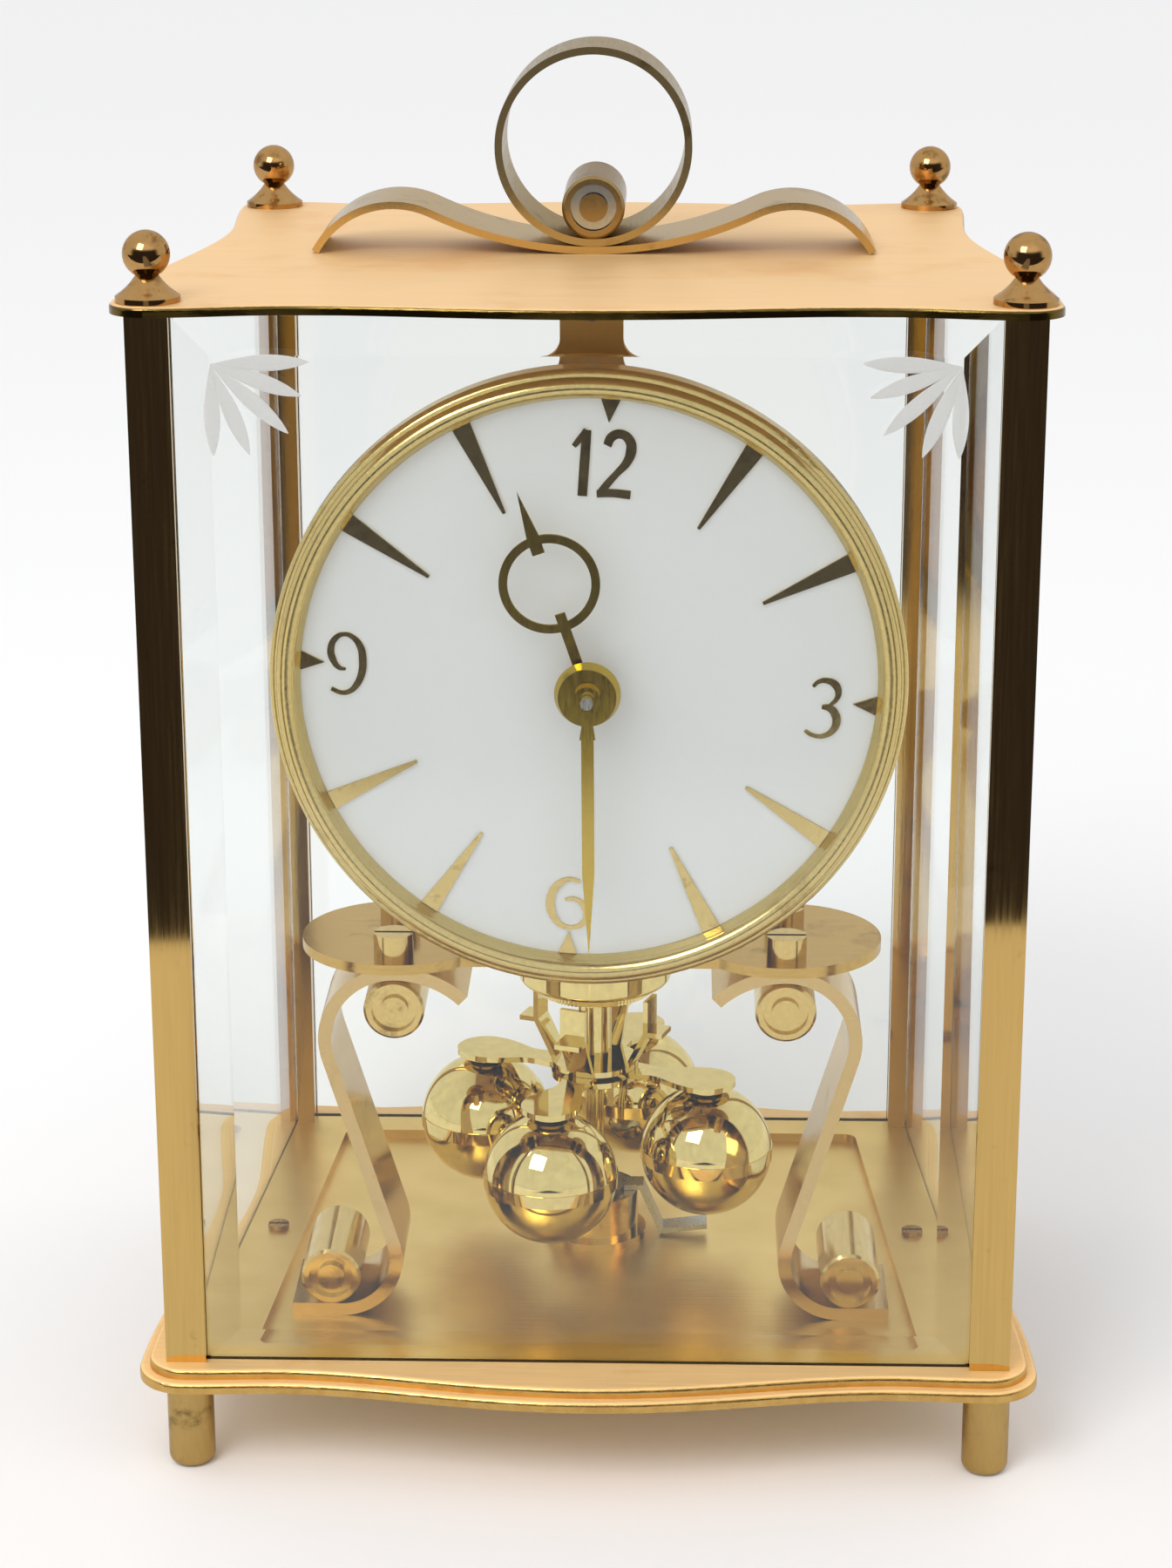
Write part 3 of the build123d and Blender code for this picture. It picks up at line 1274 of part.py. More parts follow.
def ball_and_arm(bearing):
    """A ball of two halves with a band, under the leaf-shaped arm that carries it."""
    outward = Vector(cos(radians(bearing)), sin(radians(bearing)), 0)
    x = outward.X * ball_ring_radius
    y = axis_y + outward.Y * ball_ring_radius
    radius = ball_diameter / 2
    band = ball_band / 2
    band_radius = radius + ball_band_proud
    band_foot = sqrt(radius ** 2 - band ** 2)
    neck_z = ball_height + sqrt(radius ** 2 - (ball_neck / 2) ** 2)
    with BuildPart() as weight:
        with BuildSketch(upright(x, y)):
            with BuildLine():
                slope = cos(pi / 4) * radius
                ThreePointArc((0, ball_height - radius), (slope, ball_height - slope),
                              (band_foot, ball_height - band))
                Polyline((band_foot, ball_height - band), (band_radius, ball_height - band),
                         (band_radius, ball_height + band), (band_foot, ball_height + band))
                ThreePointArc((band_foot, ball_height + band), (slope, ball_height + slope),
                              (ball_neck / 2, neck_z))
                Polyline((ball_neck / 2, neck_z), (ball_flange / 2, ball_top),
                         (ball_flange / 2, arm_bottom), (0, arm_bottom), (0, ball_height - radius))
            make_face()
        revolve(axis=Axis((x, y, 0), (0, 0, 1)))
        with BuildSketch(Plane(origin=(0, axis_y, arm_bottom), x_dir=outward, z_dir=(0, 0, 1))):
            with BuildLine():
                Spline((arm_inner, arm_root / 2), (arm_waist_reach, arm_waist / 2),
                       (ball_ring_radius, arm_lobe_radius), tangents=((1, 0), (1, 0)))
                CenterArc((ball_ring_radius, 0), arm_lobe_radius, 90, -180)
                Spline((ball_ring_radius, -arm_lobe_radius), (arm_waist_reach, -arm_waist / 2),
                       (arm_inner, -arm_root / 2), tangents=((-1, 0), (-1, 0)))
                Line((arm_inner, -arm_root / 2), (arm_inner, arm_root / 2))
            make_face()
        extrude(amount=arm_thickness)
    return weight.part


with BuildPart() as ball_front:
    add(ball_and_arm(-90 - ball_turn))
with BuildPart() as ball_right:
    add(ball_and_arm(-ball_turn))
with BuildPart() as ball_back:
    add(ball_and_arm(90 - ball_turn))
with BuildPart() as ball_left:
    add(ball_and_arm(180 - ball_turn))

# Guide cup on the floor, with a boss for the lever
cup_radius = cup_diameter / 2
flange_top = window_floor + cup_flange_height
boss_top = cup_top + lever_thickness + 2 * arm_slip
with BuildPart() as guide_cup:
    with BuildSketch(upright(0, axis_y)):
        with BuildLine():
            bore = spindle_tip / 2 + 2 * fit
            inner = cup_radius - cup_wall
            Polyline((bore, cup_top - cup_wall), (bore, boss_top), (cup_boss / 2, boss_top),
                     (cup_boss / 2, cup_top), (cup_radius, cup_top), (cup_radius, flange_top),
                     (cup_flange / 2, flange_top), (cup_flange / 2, window_floor),
                     (inner, window_floor), (inner, cup_top - cup_wall), close=True)
        make_face()
    revolve(axis=Axis((0, axis_y, 0), (0, 0, 1)))

# Locking lever: a ring on the cup and a strip bent down beside it and out over the floor
lever_bottom = cup_top + arm_slip
lever_inner = cup_boss / 2 + 2 * fit
with BuildPart() as locking_lever:
    with BuildSketch(Plane.XY.offset(lever_bottom)):
        with Locations((0, axis_y)):
            Circle(lever_inner + lever_ring_width)
            Circle(lever_inner, mode=Mode.SUBTRACT)
    extrude(amount=lever_thickness)
    with BuildSketch(face_on((0, 0), axis_y + lever_width / 2)):
        with BuildLine():
            lever_z = lever_bottom + lever_thickness / 2
            lever_low = window_floor + lever_thickness
            lever_knee = cup_radius + lever_clear
            Polyline((lever_inner + lever_thickness / 2, lever_z), (lever_knee, lever_z),
                     (lever_knee + lever_slope, lever_low), (lever_reach, lever_low + lever_thickness))
        trace(line_width=lever_thickness)
    extrude(amount=lever_width)

pieces = {
    "base_plate": base_plate,
    "floor_plate": floor_plate,
    "floor_screws": floor_screws,
    "feet": feet,
    "corner_posts": corner_posts,
    "front_glass": front_glass,
    "back_glass": back_glass,
    "left_glass": left_glass,
    "right_glass": right_glass,
    "top_plate": top_plate,
    "finials": finials,
    "handle_strip": handle_strip,
    "handle_ring": handle_ring,
    "handle_roll": handle_roll,
    "handle_screw": handle_screw,
    "left_support": left_support,
    "right_support": right_support,
    "support_rolls": support_rolls,
    "support_screws": support_screws,
    "platform": platform,
    "platform_screws": platform_screws,
    "front_plate": front_plate,
    "back_plate": back_plate,
    "pillars": pillars,
    "movement_screws": movement_screws,
    "bracket_screws": bracket_screws,
    "dial": dial,
    "bezel": bezel,
    "hour_markers": hour_markers,
    "centre_wheel": centre_wheel,
    "third_wheel": third_wheel,
    "escape_wheel": escape_wheel,
    "second_wheel": second_wheel,
    "first_wheel": first_wheel,
    "barrel": barrel,
    "mainspring": mainspring,
    "barrel_arbor": barrel_arbor,
    "ratchet_wheel": ratchet_wheel,
    "click": click,
    "anchor": anchor,
    "suspension_saddle": suspension_saddle,
    "suspension_spring": suspension_spring,
    "fork": fork,
    "cannon_pinion": cannon_pinion,
    "minute_wheel": minute_wheel,
    "hour_wheel": hour_wheel,
    "hour_hand": hour_hand,
    "minute_hand": minute_hand,
    "hand_washer": hand_washer,
    "hand_nut": hand_nut,
    "pendulum_spindle": pendulum_spindle,
    "pendulum_frame": pendulum_frame,
    "rating_disc": rating_disc,
    "ball_front": ball_front,
    "ball_right": ball_right,
    "ball_back": ball_back,
    "ball_left": ball_left,
    "guide_cup": guide_cup,
    "locking_lever": locking_lever,
}
for name, piece in pieces.items():
    piece.part.label = name
    export_step(piece.part, f"parts/{name}.step")
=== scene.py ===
import bpy
from math import pi, radians, sin
from mathutils import Matrix, Vector


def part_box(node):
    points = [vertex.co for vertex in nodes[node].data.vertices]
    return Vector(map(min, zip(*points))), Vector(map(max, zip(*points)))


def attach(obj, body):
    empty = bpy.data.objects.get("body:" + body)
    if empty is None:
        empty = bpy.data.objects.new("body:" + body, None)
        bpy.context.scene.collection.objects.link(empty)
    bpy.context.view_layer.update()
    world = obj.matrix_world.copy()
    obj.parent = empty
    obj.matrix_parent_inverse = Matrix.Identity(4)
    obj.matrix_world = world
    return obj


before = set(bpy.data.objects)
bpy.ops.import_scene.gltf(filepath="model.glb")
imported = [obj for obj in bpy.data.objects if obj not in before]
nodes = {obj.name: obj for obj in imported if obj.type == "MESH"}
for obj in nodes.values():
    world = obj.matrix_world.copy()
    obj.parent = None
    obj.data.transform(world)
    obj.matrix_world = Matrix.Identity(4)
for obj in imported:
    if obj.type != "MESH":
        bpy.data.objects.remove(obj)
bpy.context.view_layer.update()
MM = 0.001
NOISE_LOW = 0.3  # between these two lies most of what a noise texture gives
NOISE_HIGH = 0.7
TARNISH_START = 0.72  # noise at which tarnish starts and is full, each less the share that it covers
TARNISH_FULL = 0.92
DARK_ROOM = "#3b3840"  # what polished metal mirrors in front of the clock


def linear(colour):
    """An sRGB hex colour as the linear values that a shader takes."""
    parts = [int(colour[i:i + 2], 16) / 255 for i in (1, 3, 5)]
    return [p / 12.92 if p <= 0.04045 else ((p + 0.055) / 1.055) ** 2.4 for p in parts] + [1.0]


def add_node(tree, kind, settings=None, inputs=None):
    """Adds a node, sets its options, and sets or links its inputs."""
    made = tree.nodes.new(kind)
    for name, value in (settings or {}).items():
        setattr(made, name, value)
    for socket, value in (inputs or {}).items():
        if isinstance(value, bpy.types.NodeSocket):
            tree.links.new(value, made.inputs[socket])
        else:
            made.inputs[socket].default_value = value
    return made


def new_material(name):
    """A material with its tree and its Principled shader."""
    material = bpy.data.materials.new(name)
    material.use_nodes = True
    return material, material.node_tree, material.node_tree.nodes["Principled BSDF"]


def brass(name, colour, tarnish, rough, stretch, line_mm, patch_mm, patch_cover, bump, glance=0.25):
    """Brass with fine lines from its finishing, and patches where the lacquer has gone and it has tarnished.

    rough is the smooth and the dull roughness, stretch draws the lines out along an axis, patch_cover is
    how much of the surface the tarnish takes, and glance is how much of its colour the metal keeps at a
    low angle. Real tool lines are finer: these are as coarse as they need to be to show.
    """
    material, tree, shader = new_material(name)
    place = add_node(tree, "ShaderNodeTexCoord")
    drawn = add_node(tree, "ShaderNodeMapping", inputs={"Vector": place.outputs["Object"], "Scale": stretch})
    lines = add_node(tree, "ShaderNodeTexNoise", inputs={
        "Vector": drawn.outputs["Vector"], "Scale": 1 / (line_mm * MM), "Detail": 4.0, "Roughness": 0.6})
    patches = add_node(tree, "ShaderNodeTexNoise", inputs={
        "Vector": place.outputs["Object"], "Scale": 1 / (patch_mm * MM), "Detail": 5.0, "Roughness": 0.6})
    mask = add_node(tree, "ShaderNodeMapRange", {"interpolation_type": "SMOOTHSTEP"}, {
        "Value": patches.outputs["Fac"], "From Min": TARNISH_START - patch_cover,
        "From Max": TARNISH_FULL - patch_cover, "To Min": 0.0, "To Max": 1.0})
    tint = add_node(tree, "ShaderNodeMix", {"data_type": "RGBA"}, {
        "Factor": mask.outputs["Result"], "A": linear(colour), "B": linear(tarnish)})
    shade = add_node(tree, "ShaderNodeMapRange", inputs={
        "Value": lines.outputs["Fac"], "From Min": NOISE_LOW, "From Max": NOISE_HIGH,
        "To Min": 0.93, "To Max": 1.05})
    toned = add_node(tree, "ShaderNodeMix", {"data_type": "RGBA", "blend_type": "MULTIPLY"}, {
        "Factor": 1.0, "A": tint.outputs["Result"], "B": shade.outputs["Result"]})
    gloss = add_node(tree, "ShaderNodeMapRange", inputs={
        "Value": lines.outputs["Fac"], "From Min": NOISE_LOW, "From Max": NOISE_HIGH,
        "To Min": rough[0], "To Max": rough[1]})
    relief = add_node(tree, "ShaderNodeBump", inputs={
        "Height": lines.outputs["Fac"], "Strength": bump, "Distance": 0.05 * MM})
    tree.links.new(toned.outputs["Result"], shader.inputs["Base Color"])
    tree.links.new(gloss.outputs["Result"], shader.inputs["Roughness"])
    tree.links.new(relief.outputs["Normal"], shader.inputs["Normal"])
    shader.inputs["Metallic"].default_value = 1.0
    if glance > 0:
        low_angle = add_node(tree, "ShaderNodeMix", {"data_type": "RGBA"}, {
            "Factor": glance, "A": linear("#ffffff"), "B": toned.outputs["Result"]})
        tree.links.new(low_angle.outputs["Result"], shader.inputs["Specular Tint"])
    return material


def bare_shaded_edges(material, colour, tarnish, smooth, dull):
    """Gives the upright edges of a brass sheet the look of bare metal, in a darker colour that is partly
    painted shade, and its level faces matt lacquer.

    smooth and dull are the two ends of the edges' roughness.
    """
    tree = material.node_tree
    shader = tree.nodes["Principled BSDF"]
    place = add_node(tree, "ShaderNodeTexCoord")
    facing = add_node(tree, "ShaderNodeSeparateXYZ", inputs={"Vector": place.outputs["Normal"]})
    level = add_node(tree, "ShaderNodeMath", {"operation": "ABSOLUTE"}, {0: facing.outputs["Z"]})
    edge_until, face_from = 0.6, 0.8  # how squarely a surface looks up or down
    sheared = add_node(tree, "ShaderNodeMapRange", inputs={
        "Value": level.outputs["Value"], "From Min": edge_until, "From Max": face_from,
        "To Min": 1.0, "To Max": 0.0})
    burr = add_node(tree, "ShaderNodeTexNoise", inputs={
        "Vector": place.outputs["Object"], "Scale": 1 / (2.5 * MM), "Detail": 4.0})
    shaded_bare = add_node(tree, "ShaderNodeMix", {"data_type": "RGBA"}, {
        "Factor": burr.outputs["Fac"], "A": linear(colour), "B": linear(tarnish)})
    # Upright faces take the edge colour: bare metal, darkened as painted shade
    tone = add_node(tree, "ShaderNodeMix", {"data_type": "RGBA"}, {
        "Factor": sheared.outputs["Result"], "A": shader.inputs["Base Color"].links[0].from_socket,
        "B": shaded_bare.outputs["Result"]})
    slick = add_node(tree, "ShaderNodeMapRange", inputs={
        "Value": burr.outputs["Fac"], "From Min": NOISE_LOW, "From Max": NOISE_HIGH,
        "To Min": smooth, "To Max": dull})
    gloss = add_node(tree, "ShaderNodeMix", {"data_type": "FLOAT"}, {
        "Factor": sheared.outputs["Result"], "A": shader.inputs["Roughness"].links[0].from_socket,
        "B": slick.outputs["Result"]})
    lacquer = add_node(tree, "ShaderNodeMapRange", inputs={
        "Value": sheared.outputs["Result"], "To Min": 0.5, "To Max": 1.0})
    tree.links.new(tone.outputs["Result"], shader.inputs["Base Color"])
    tree.links.new(gloss.outputs["Result"], shader.inputs["Roughness"])
    tree.links.new(lacquer.outputs["Result"], shader.inputs["Metallic"])


def turned_band(material, middle, inner_mm, outer_mm, colour):
    """Recolours a brass material between two radii round an axis that runs from front to back.

    A band from the axis itself has an inner radius below zero.
    """
    tree = material.node_tree
    shader = tree.nodes["Principled BSDF"]
    place = add_node(tree, "ShaderNodeTexCoord")
    from_axis = add_node(tree, "ShaderNodeMapping", inputs={
        "Vector": place.outputs["Object"], "Location": (-middle.x, 0.0, -middle.z), "Scale": (1.0, 0.0, 1.0)})
    reach = add_node(tree, "ShaderNodeVectorMath", {"operation": "LENGTH"}, {0: from_axis.outputs["Vector"]})
    softness = 0.05 * MM
    past = add_node(tree, "ShaderNodeMapRange", inputs={
        "Value": reach.outputs["Value"], "From Min": inner_mm * MM - softness,
        "From Max": inner_mm * MM + softness, "To Min": 0.0, "To Max": 1.0})
    short = add_node(tree, "ShaderNodeMapRange", inputs={
        "Value": reach.outputs["Value"], "From Min": outer_mm * MM - softness,
        "From Max": outer_mm * MM + softness, "To Min": 1.0, "To Max": 0.0})
    band = add_node(tree, "ShaderNodeMath", {"operation": "MULTIPLY"}, {
        0: past.outputs["Result"], 1: short.outputs["Result"]})
    tone = add_node(tree, "ShaderNodeMix", {"data_type": "RGBA"}, {
        "Factor": band.outputs["Value"], "A": shader.inputs["Base Color"].links[0].from_socket,
        "B": linear(colour)})
    tree.links.new(tone.outputs["Result"], shader.inputs["Base Color"])


def middle_of(name):
    """The middle of a node's box."""
    low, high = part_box(name)
    return (low + high) / 2


# Satin brass sheet of the top, brushed from side to side: its matt lacquer scatters the light, so it
# looks pale
top_brass = brass(
    "satin_brass_top", "#efc78f", "#e6b679", rough=(0.44, 0.58), stretch=(0.02, 1.0, 1.0),
    line_mm=0.35, patch_mm=30.0, patch_cover=0.18, bump=0.5, glance=0.0)

# Its sheared edge is bare and burnished and mirrors the room; its colour is darkened to olive, a painted
# reflection of the dark room
bare_shaded_edges(top_brass, "#725f31", "#51431b", smooth=0.1, dull=0.2)

# Sheet brass of the base and floor: satin and golden at the rim, where hands have worn the lacquer
rim_brass = brass(
    "satin_brass_base", "#fbd293", "#efbd76", rough=(0.55, 0.7), stretch=(0.03, 1.0, 1.0),
    line_mm=0.4, patch_mm=14.0, patch_cover=0.14, bump=1.0)

# Its edges are bare and yellower, and darker on the upright faces: painted shade
bare_shaded_edges(rim_brass, "#d6b26a", "#b38b4c", smooth=0.2, dull=0.32)

# Inside the glass the same sheet kept its rolled finish: it is yellower and mirrors the pendulum softly
inside_half_width = 58.3 * MM  # at the case's middle
inside_half_depth = 47.6 * MM
inside_taper = 0.075  # how much narrower it gets towards the back
tree = rim_brass.node_tree
shader = tree.nodes["Principled BSDF"]
place = add_node(tree, "ShaderNodeTexCoord")
split = add_node(tree, "ShaderNodeSeparateXYZ", inputs={"Vector": place.outputs["Object"]})
aside = add_node(tree, "ShaderNodeMath", {"operation": "ABSOLUTE"}, {0: split.outputs["X"]})
ahead = add_node(tree, "ShaderNodeMath", {"operation": "ABSOLUTE"}, {0: split.outputs["Y"]})
across = add_node(tree, "ShaderNodeMath", {"operation": "MULTIPLY_ADD"}, {
    0: split.outputs["Y"], 1: inside_taper, 2: aside.outputs["Value"]})
wide = add_node(tree, "ShaderNodeMath", {"operation": "DIVIDE"}, {
    0: across.outputs["Value"], 1: inside_half_width})
deep = add_node(tree, "ShaderNodeMath", {"operation": "DIVIDE"}, {
    0: ahead.outputs["Value"], 1: inside_half_depth})
far = add_node(tree, "ShaderNodeMath", {"operation": "MAXIMUM"}, {
    0: wide.outputs["Value"], 1: deep.outputs["Value"]})
kept = add_node(tree, "ShaderNodeMapRange", {"interpolation_type": "SMOOTHSTEP"}, {
    "Value": far.outputs["Value"], "From Min": 0.985, "From Max": 1.015, "To Min": 1.0, "To Max": 0.0})
stain = add_node(tree, "ShaderNodeTexNoise", inputs={
    "Vector": place.outputs["Object"], "Scale": 1 / (12 * MM), "Detail": 4.0})
polish = add_node(tree, "ShaderNodeMix", {"data_type": "RGBA"}, {
    "Factor": stain.outputs["Fac"], "A": linear("#f2d486"), "B": linear("#dfbd6c")})
tone = add_node(tree, "ShaderNodeMix", {"data_type": "RGBA"}, {
    "Factor": kept.outputs["Result"], "A": shader.inputs["Base Color"].links[0].from_socket,
    "B": polish.outputs["Result"]})
sheen = add_node(tree, "ShaderNodeMapRange", inputs={
    "Value": stain.outputs["Fac"], "From Min": NOISE_LOW, "From Max": NOISE_HIGH,
    "To Min": 0.3, "To Max": 0.4})
dull = add_node(tree, "ShaderNodeMix", {"data_type": "FLOAT"}, {
    "Factor": kept.outputs["Result"], "A": shader.inputs["Roughness"].links[0].from_socket,
    "B": sheen.outputs["Result"]})
bright = add_node(tree, "ShaderNodeMath", {"operation": "MAXIMUM"}, {
    0: kept.outputs["Result"], 1: shader.inputs["Metallic"].links[0].from_socket})
tree.links.new(tone.outputs["Result"], shader.inputs["Base Color"])
tree.links.new(dull.outputs["Result"], shader.inputs["Roughness"])
tree.links.new(bright.outputs["Value"], shader.inputs["Metallic"])

# Rolled and polished brass of the platform, olive
platform_brass = brass(
    "rolled_brass_platform", "#c9a65e", "#a68340", rough=(0.14, 0.26), stretch=(0.04, 1.0, 1.0),
    line_mm=0.5, patch_mm=9.0, patch_cover=0.18, bump=0.06)

# Drawn and polished brass of the posts, with brown tarnish: it mirrors the dark side of the room
post_brass = brass(
    "drawn_brass_posts", "#c5a564", "#8d7747", rough=(0.03, 0.08), stretch=(1.0, 1.0, 0.03),
    line_mm=0.5, patch_mm=5.0, patch_cover=0.1, bump=0.04)

# Feet, duller and browner than the posts
foot_brass = brass(
    "brown_brass_feet", "#b3965c", "#7d6740", rough=(0.14, 0.28), stretch=(1.0, 1.0, 0.2),
    line_mm=0.6, patch_mm=4.0, patch_cover=0.2, bump=0.05)

# Turned finials, brown with age
finial_brass = brass(
    "aged_brass_finials", "#b48d58", "#7d592e", rough=(0.06, 0.13), stretch=(1.0, 1.0, 1.0),
    line_mm=1.2, patch_mm=3.0, patch_cover=0.22, bump=0.02)

# Rolled strip of the handle, polished, pale where it mirrors the light
strip_brass = brass(
    "polished_brass_strip", "#c2a873", "#967e4e", rough=(0.1, 0.2), stretch=(1.0, 0.04, 1.0),
    line_mm=0.4, patch_mm=8.0, patch_cover=0.18, bump=0.05, glance=0.5)

# Ring of the handle, of the same strip, in a greyer brass
ring_brass = brass(
    "grey_brass_ring", "#b09c6e", "#8a774c", rough=(0.12, 0.22), stretch=(1.0, 0.04, 1.0),
    line_mm=0.4, patch_mm=6.0, patch_cover=0.18, bump=0.05, glance=0.8)

# Strip of the supports, which the glass has kept bright
support_brass = brass(
    "polished_brass_supports", "#ceb17a", "#b29154", rough=(0.1, 0.2), stretch=(1.0, 0.04, 1.0),
    line_mm=0.4, patch_mm=9.0, patch_cover=0.12, bump=0.05)

# Roll of the handle, with brown tarnish left by fingers and a groove in each end that shows grey
roll_brass = brass(
    "turned_brass_handle_roll", "#a1885c", "#7d6541", rough=(0.12, 0.2), stretch=(1.0, 0.1, 1.0),
    line_mm=0.6, patch_mm=8.0, patch_cover=0.2, bump=0.02, glance=0.7)
turned_band(roll_brass, middle_of("handle_roll"), inner_mm=2.1, outer_mm=3.4, colour="#b4b7b2")

# Turned rolls, tall screws and guide cup inside the case, bright yellow
turned_brass = brass(
    "turned_brass_rolls", "#d6bb78", "#a98a4d", rough=(0.1, 0.2), stretch=(1.0, 0.1, 1.0),
    line_mm=0.6, patch_mm=4.0, patch_cover=0.16, bump=0.04)

# Spun brass of the bezel, bright yellow
bezel_brass = brass(
    "spun_brass_bezel", "#d6c080", "#b3985a", rough=(0.15, 0.25), stretch=(1.0, 1.0, 1.0),
    line_mm=0.5, patch_mm=10.0, patch_cover=0.12, bump=0.03)

# Pressed markers and numerals, gilt and polished
gilt_brass = brass(
    "gilt_brass_markers", "#cfb97c", "#a58d54", rough=(0.06, 0.14), stretch=(1.0, 1.0, 1.0),
    line_mm=0.8, patch_mm=3.0, patch_cover=0.16, bump=0.02)

# Stamped hands, with a fine satin face that the eye reads as olive gold
hand_brass = brass(
    "stamped_brass_hands", "#c4a948", "#9a8034", rough=(0.12, 0.2), stretch=(1.0, 1.0, 0.1),
    line_mm=0.3, patch_mm=4.0, patch_cover=0.14, bump=0.05)

# Wheels and small pieces of the movement, and the floor's screws: brushed fine, plain and brown
movement_brass = brass(
    "brushed_brass_movement", "#b08d4e", "#7f5f2f", rough=(0.22, 0.36), stretch=(1.0, 1.0, 0.05),
    line_mm=0.3, patch_mm=7.0, patch_cover=0.2, bump=0.06)

# Plates of the movement: sheet brass with a coarse satin face, which scatters the light, so the neck
# over the bezel is light brown
plate_brass = brass(
    "satin_brass_plates", "#e8bf76", "#cfa463", rough=(0.5, 0.62), stretch=(0.05, 1.0, 1.0),
    line_mm=0.4, patch_mm=14.0, patch_cover=0.1, bump=0.2)

# Centre wheel: brass like the other wheels on a steel arbor, whose grey end shows in the middle of the hands
centre_brass = brass(
    "brushed_brass_centre", "#b08d4e", "#7f5f2f", rough=(0.22, 0.36), stretch=(1.0, 1.0, 0.05),
    line_mm=0.3, patch_mm=7.0, patch_cover=0.2, bump=0.06)
turned_band(centre_brass, middle_of("bezel"), inner_mm=-1.0, outer_mm=1.2, colour="#c2c1bd")

# Pendulum: buffed and lacquered to a mirror
pendulum_brass = brass(
    "mirror_brass_pendulum", "#e1cc88", "#c1a45c", rough=(0.03, 0.07), stretch=(1.0, 1.0, 1.0),
    line_mm=1.5, patch_mm=8.0, patch_cover=0.1, bump=0.01)

# Turned steel of screws and arbors, grey and unevenly bright; its tool marks are drawn coarser than real
# ones, so that they show
steel, tree, shader = new_material("turned_steel")
place = add_node(tree, "ShaderNodeTexCoord")
marks = add_node(tree, "ShaderNodeTexNoise", inputs={
    "Vector": place.outputs["Object"], "Scale": 1 / (0.4 * MM), "Detail": 4.0})
gloss = add_node(tree, "ShaderNodeMapRange", inputs={
    "Value": marks.outputs["Fac"], "To Min": 0.18, "To Max": 0.42})
tree.links.new(gloss.outputs["Result"], shader.inputs["Roughness"])
shader.inputs["Base Color"].default_value = linear("#b4b2ad")
shader.inputs["Metallic"].default_value = 1.0

# Stove enamel of the dial: white, a little cool, smooth with a faint orange-peel
enamel, tree, shader = new_material("white_enamel_dial")
place = add_node(tree, "ShaderNodeTexCoord")
peel = add_node(tree, "ShaderNodeTexNoise", inputs={
    "Vector": place.outputs["Object"], "Scale": 1 / (1.2 * MM), "Detail": 2.0})
cloud = add_node(tree, "ShaderNodeTexNoise", inputs={
    "Vector": place.outputs["Object"], "Scale": 1 / (30 * MM), "Detail": 3.0})
white = add_node(tree, "ShaderNodeMix", {"data_type": "RGBA"}, {
    "Factor": cloud.outputs["Fac"], "A": linear("#f9fcfe"), "B": linear("#fdfefe")})
relief = add_node(tree, "ShaderNodeBump", inputs={
    "Height": peel.outputs["Fac"], "Strength": 0.03, "Distance": 0.05 * MM})
tree.links.new(white.outputs["Result"], shader.inputs["Base Color"])
tree.links.new(relief.outputs["Normal"], shader.inputs["Normal"])
shader.inputs["Roughness"].default_value = 0.3

# Plate glass, clear, with a trace of green in its edges
glass, tree, shader = new_material("plate_glass")
place = add_node(tree, "ShaderNodeTexCoord")
smear = add_node(tree, "ShaderNodeTexNoise", inputs={
    "Vector": place.outputs["Object"], "Scale": 1 / (25 * MM), "Detail": 3.0})
gloss = add_node(tree, "ShaderNodeMapRange", inputs={
    "Value": smear.outputs["Fac"], "From Min": 0.45, "From Max": 0.8, "To Min": 0.0, "To Max": 0.03})
tree.links.new(gloss.outputs["Result"], shader.inputs["Roughness"])
shader.inputs["Base Color"].default_value = linear("#fdfffe")
shader.inputs["Transmission Weight"].default_value = 1.0
shader.inputs["IOR"].default_value = 1.5

# Wheel-cut leaves in the glass: ground, so white and soft, and light comes through them from behind; the
# grit is drawn coarser than a real one, so that it shows
ground_glass, tree, shader = new_material("ground_glass_leaves")
place = add_node(tree, "ShaderNodeTexCoord")
grit = add_node(tree, "ShaderNodeTexNoise", inputs={
    "Vector": place.outputs["Object"], "Scale": 1 / (0.3 * MM), "Detail": 3.0})
frost = add_node(tree, "ShaderNodeMix", {"data_type": "RGBA"}, {
    "Factor": grit.outputs["Fac"], "A": linear("#e4e4e3"), "B": linear("#f1f1f0")})
tree.links.new(frost.outputs["Result"], shader.inputs["Base Color"])
shader.inputs["Roughness"].default_value = 0.8
shader.inputs["Transmission Weight"].default_value = 0.75
shader.inputs["IOR"].default_value = 1.2

finishes = {
    top_brass: ["top_plate"],
    rim_brass: ["base_plate", "floor_plate"],
    platform_brass: ["platform"],
    post_brass: ["corner_posts"],
    foot_brass: ["feet"],
    finial_brass: ["finials"],
    strip_brass: ["handle_strip"],
    ring_brass: ["handle_ring"],
    support_brass: ["left_support", "right_support"],
    roll_brass: ["handle_roll"],
    turned_brass: ["support_rolls", "platform_screws", "guide_cup"],
    bezel_brass: ["bezel"],
    gilt_brass: ["hour_markers"],
    hand_brass: ["hour_hand", "minute_hand", "hand_washer", "hand_nut"],
    plate_brass: ["front_plate", "back_plate"],
    movement_brass: ["floor_screws", "pillars", "third_wheel", "escape_wheel", "second_wheel",
                     "first_wheel", "barrel", "ratchet_wheel", "suspension_saddle",
                     "minute_wheel", "hour_wheel", "fork"],
    centre_brass: ["centre_wheel"],
    pendulum_brass: ["pendulum_spindle", "pendulum_frame", "rating_disc", "ball_front", "ball_right",
                     "ball_back", "ball_left"],
    steel: ["handle_screw", "support_screws", "movement_screws", "bracket_screws", "mainspring",
            "barrel_arbor", "click", "anchor", "suspension_spring", "cannon_pinion", "locking_lever"],
    enamel: ["dial"],
    glass: ["front_glass", "back_glass", "left_glass", "right_glass"],
}
for finish, names in finishes.items():
    for name in names:
        nodes[name].material_slots[0].material = finish


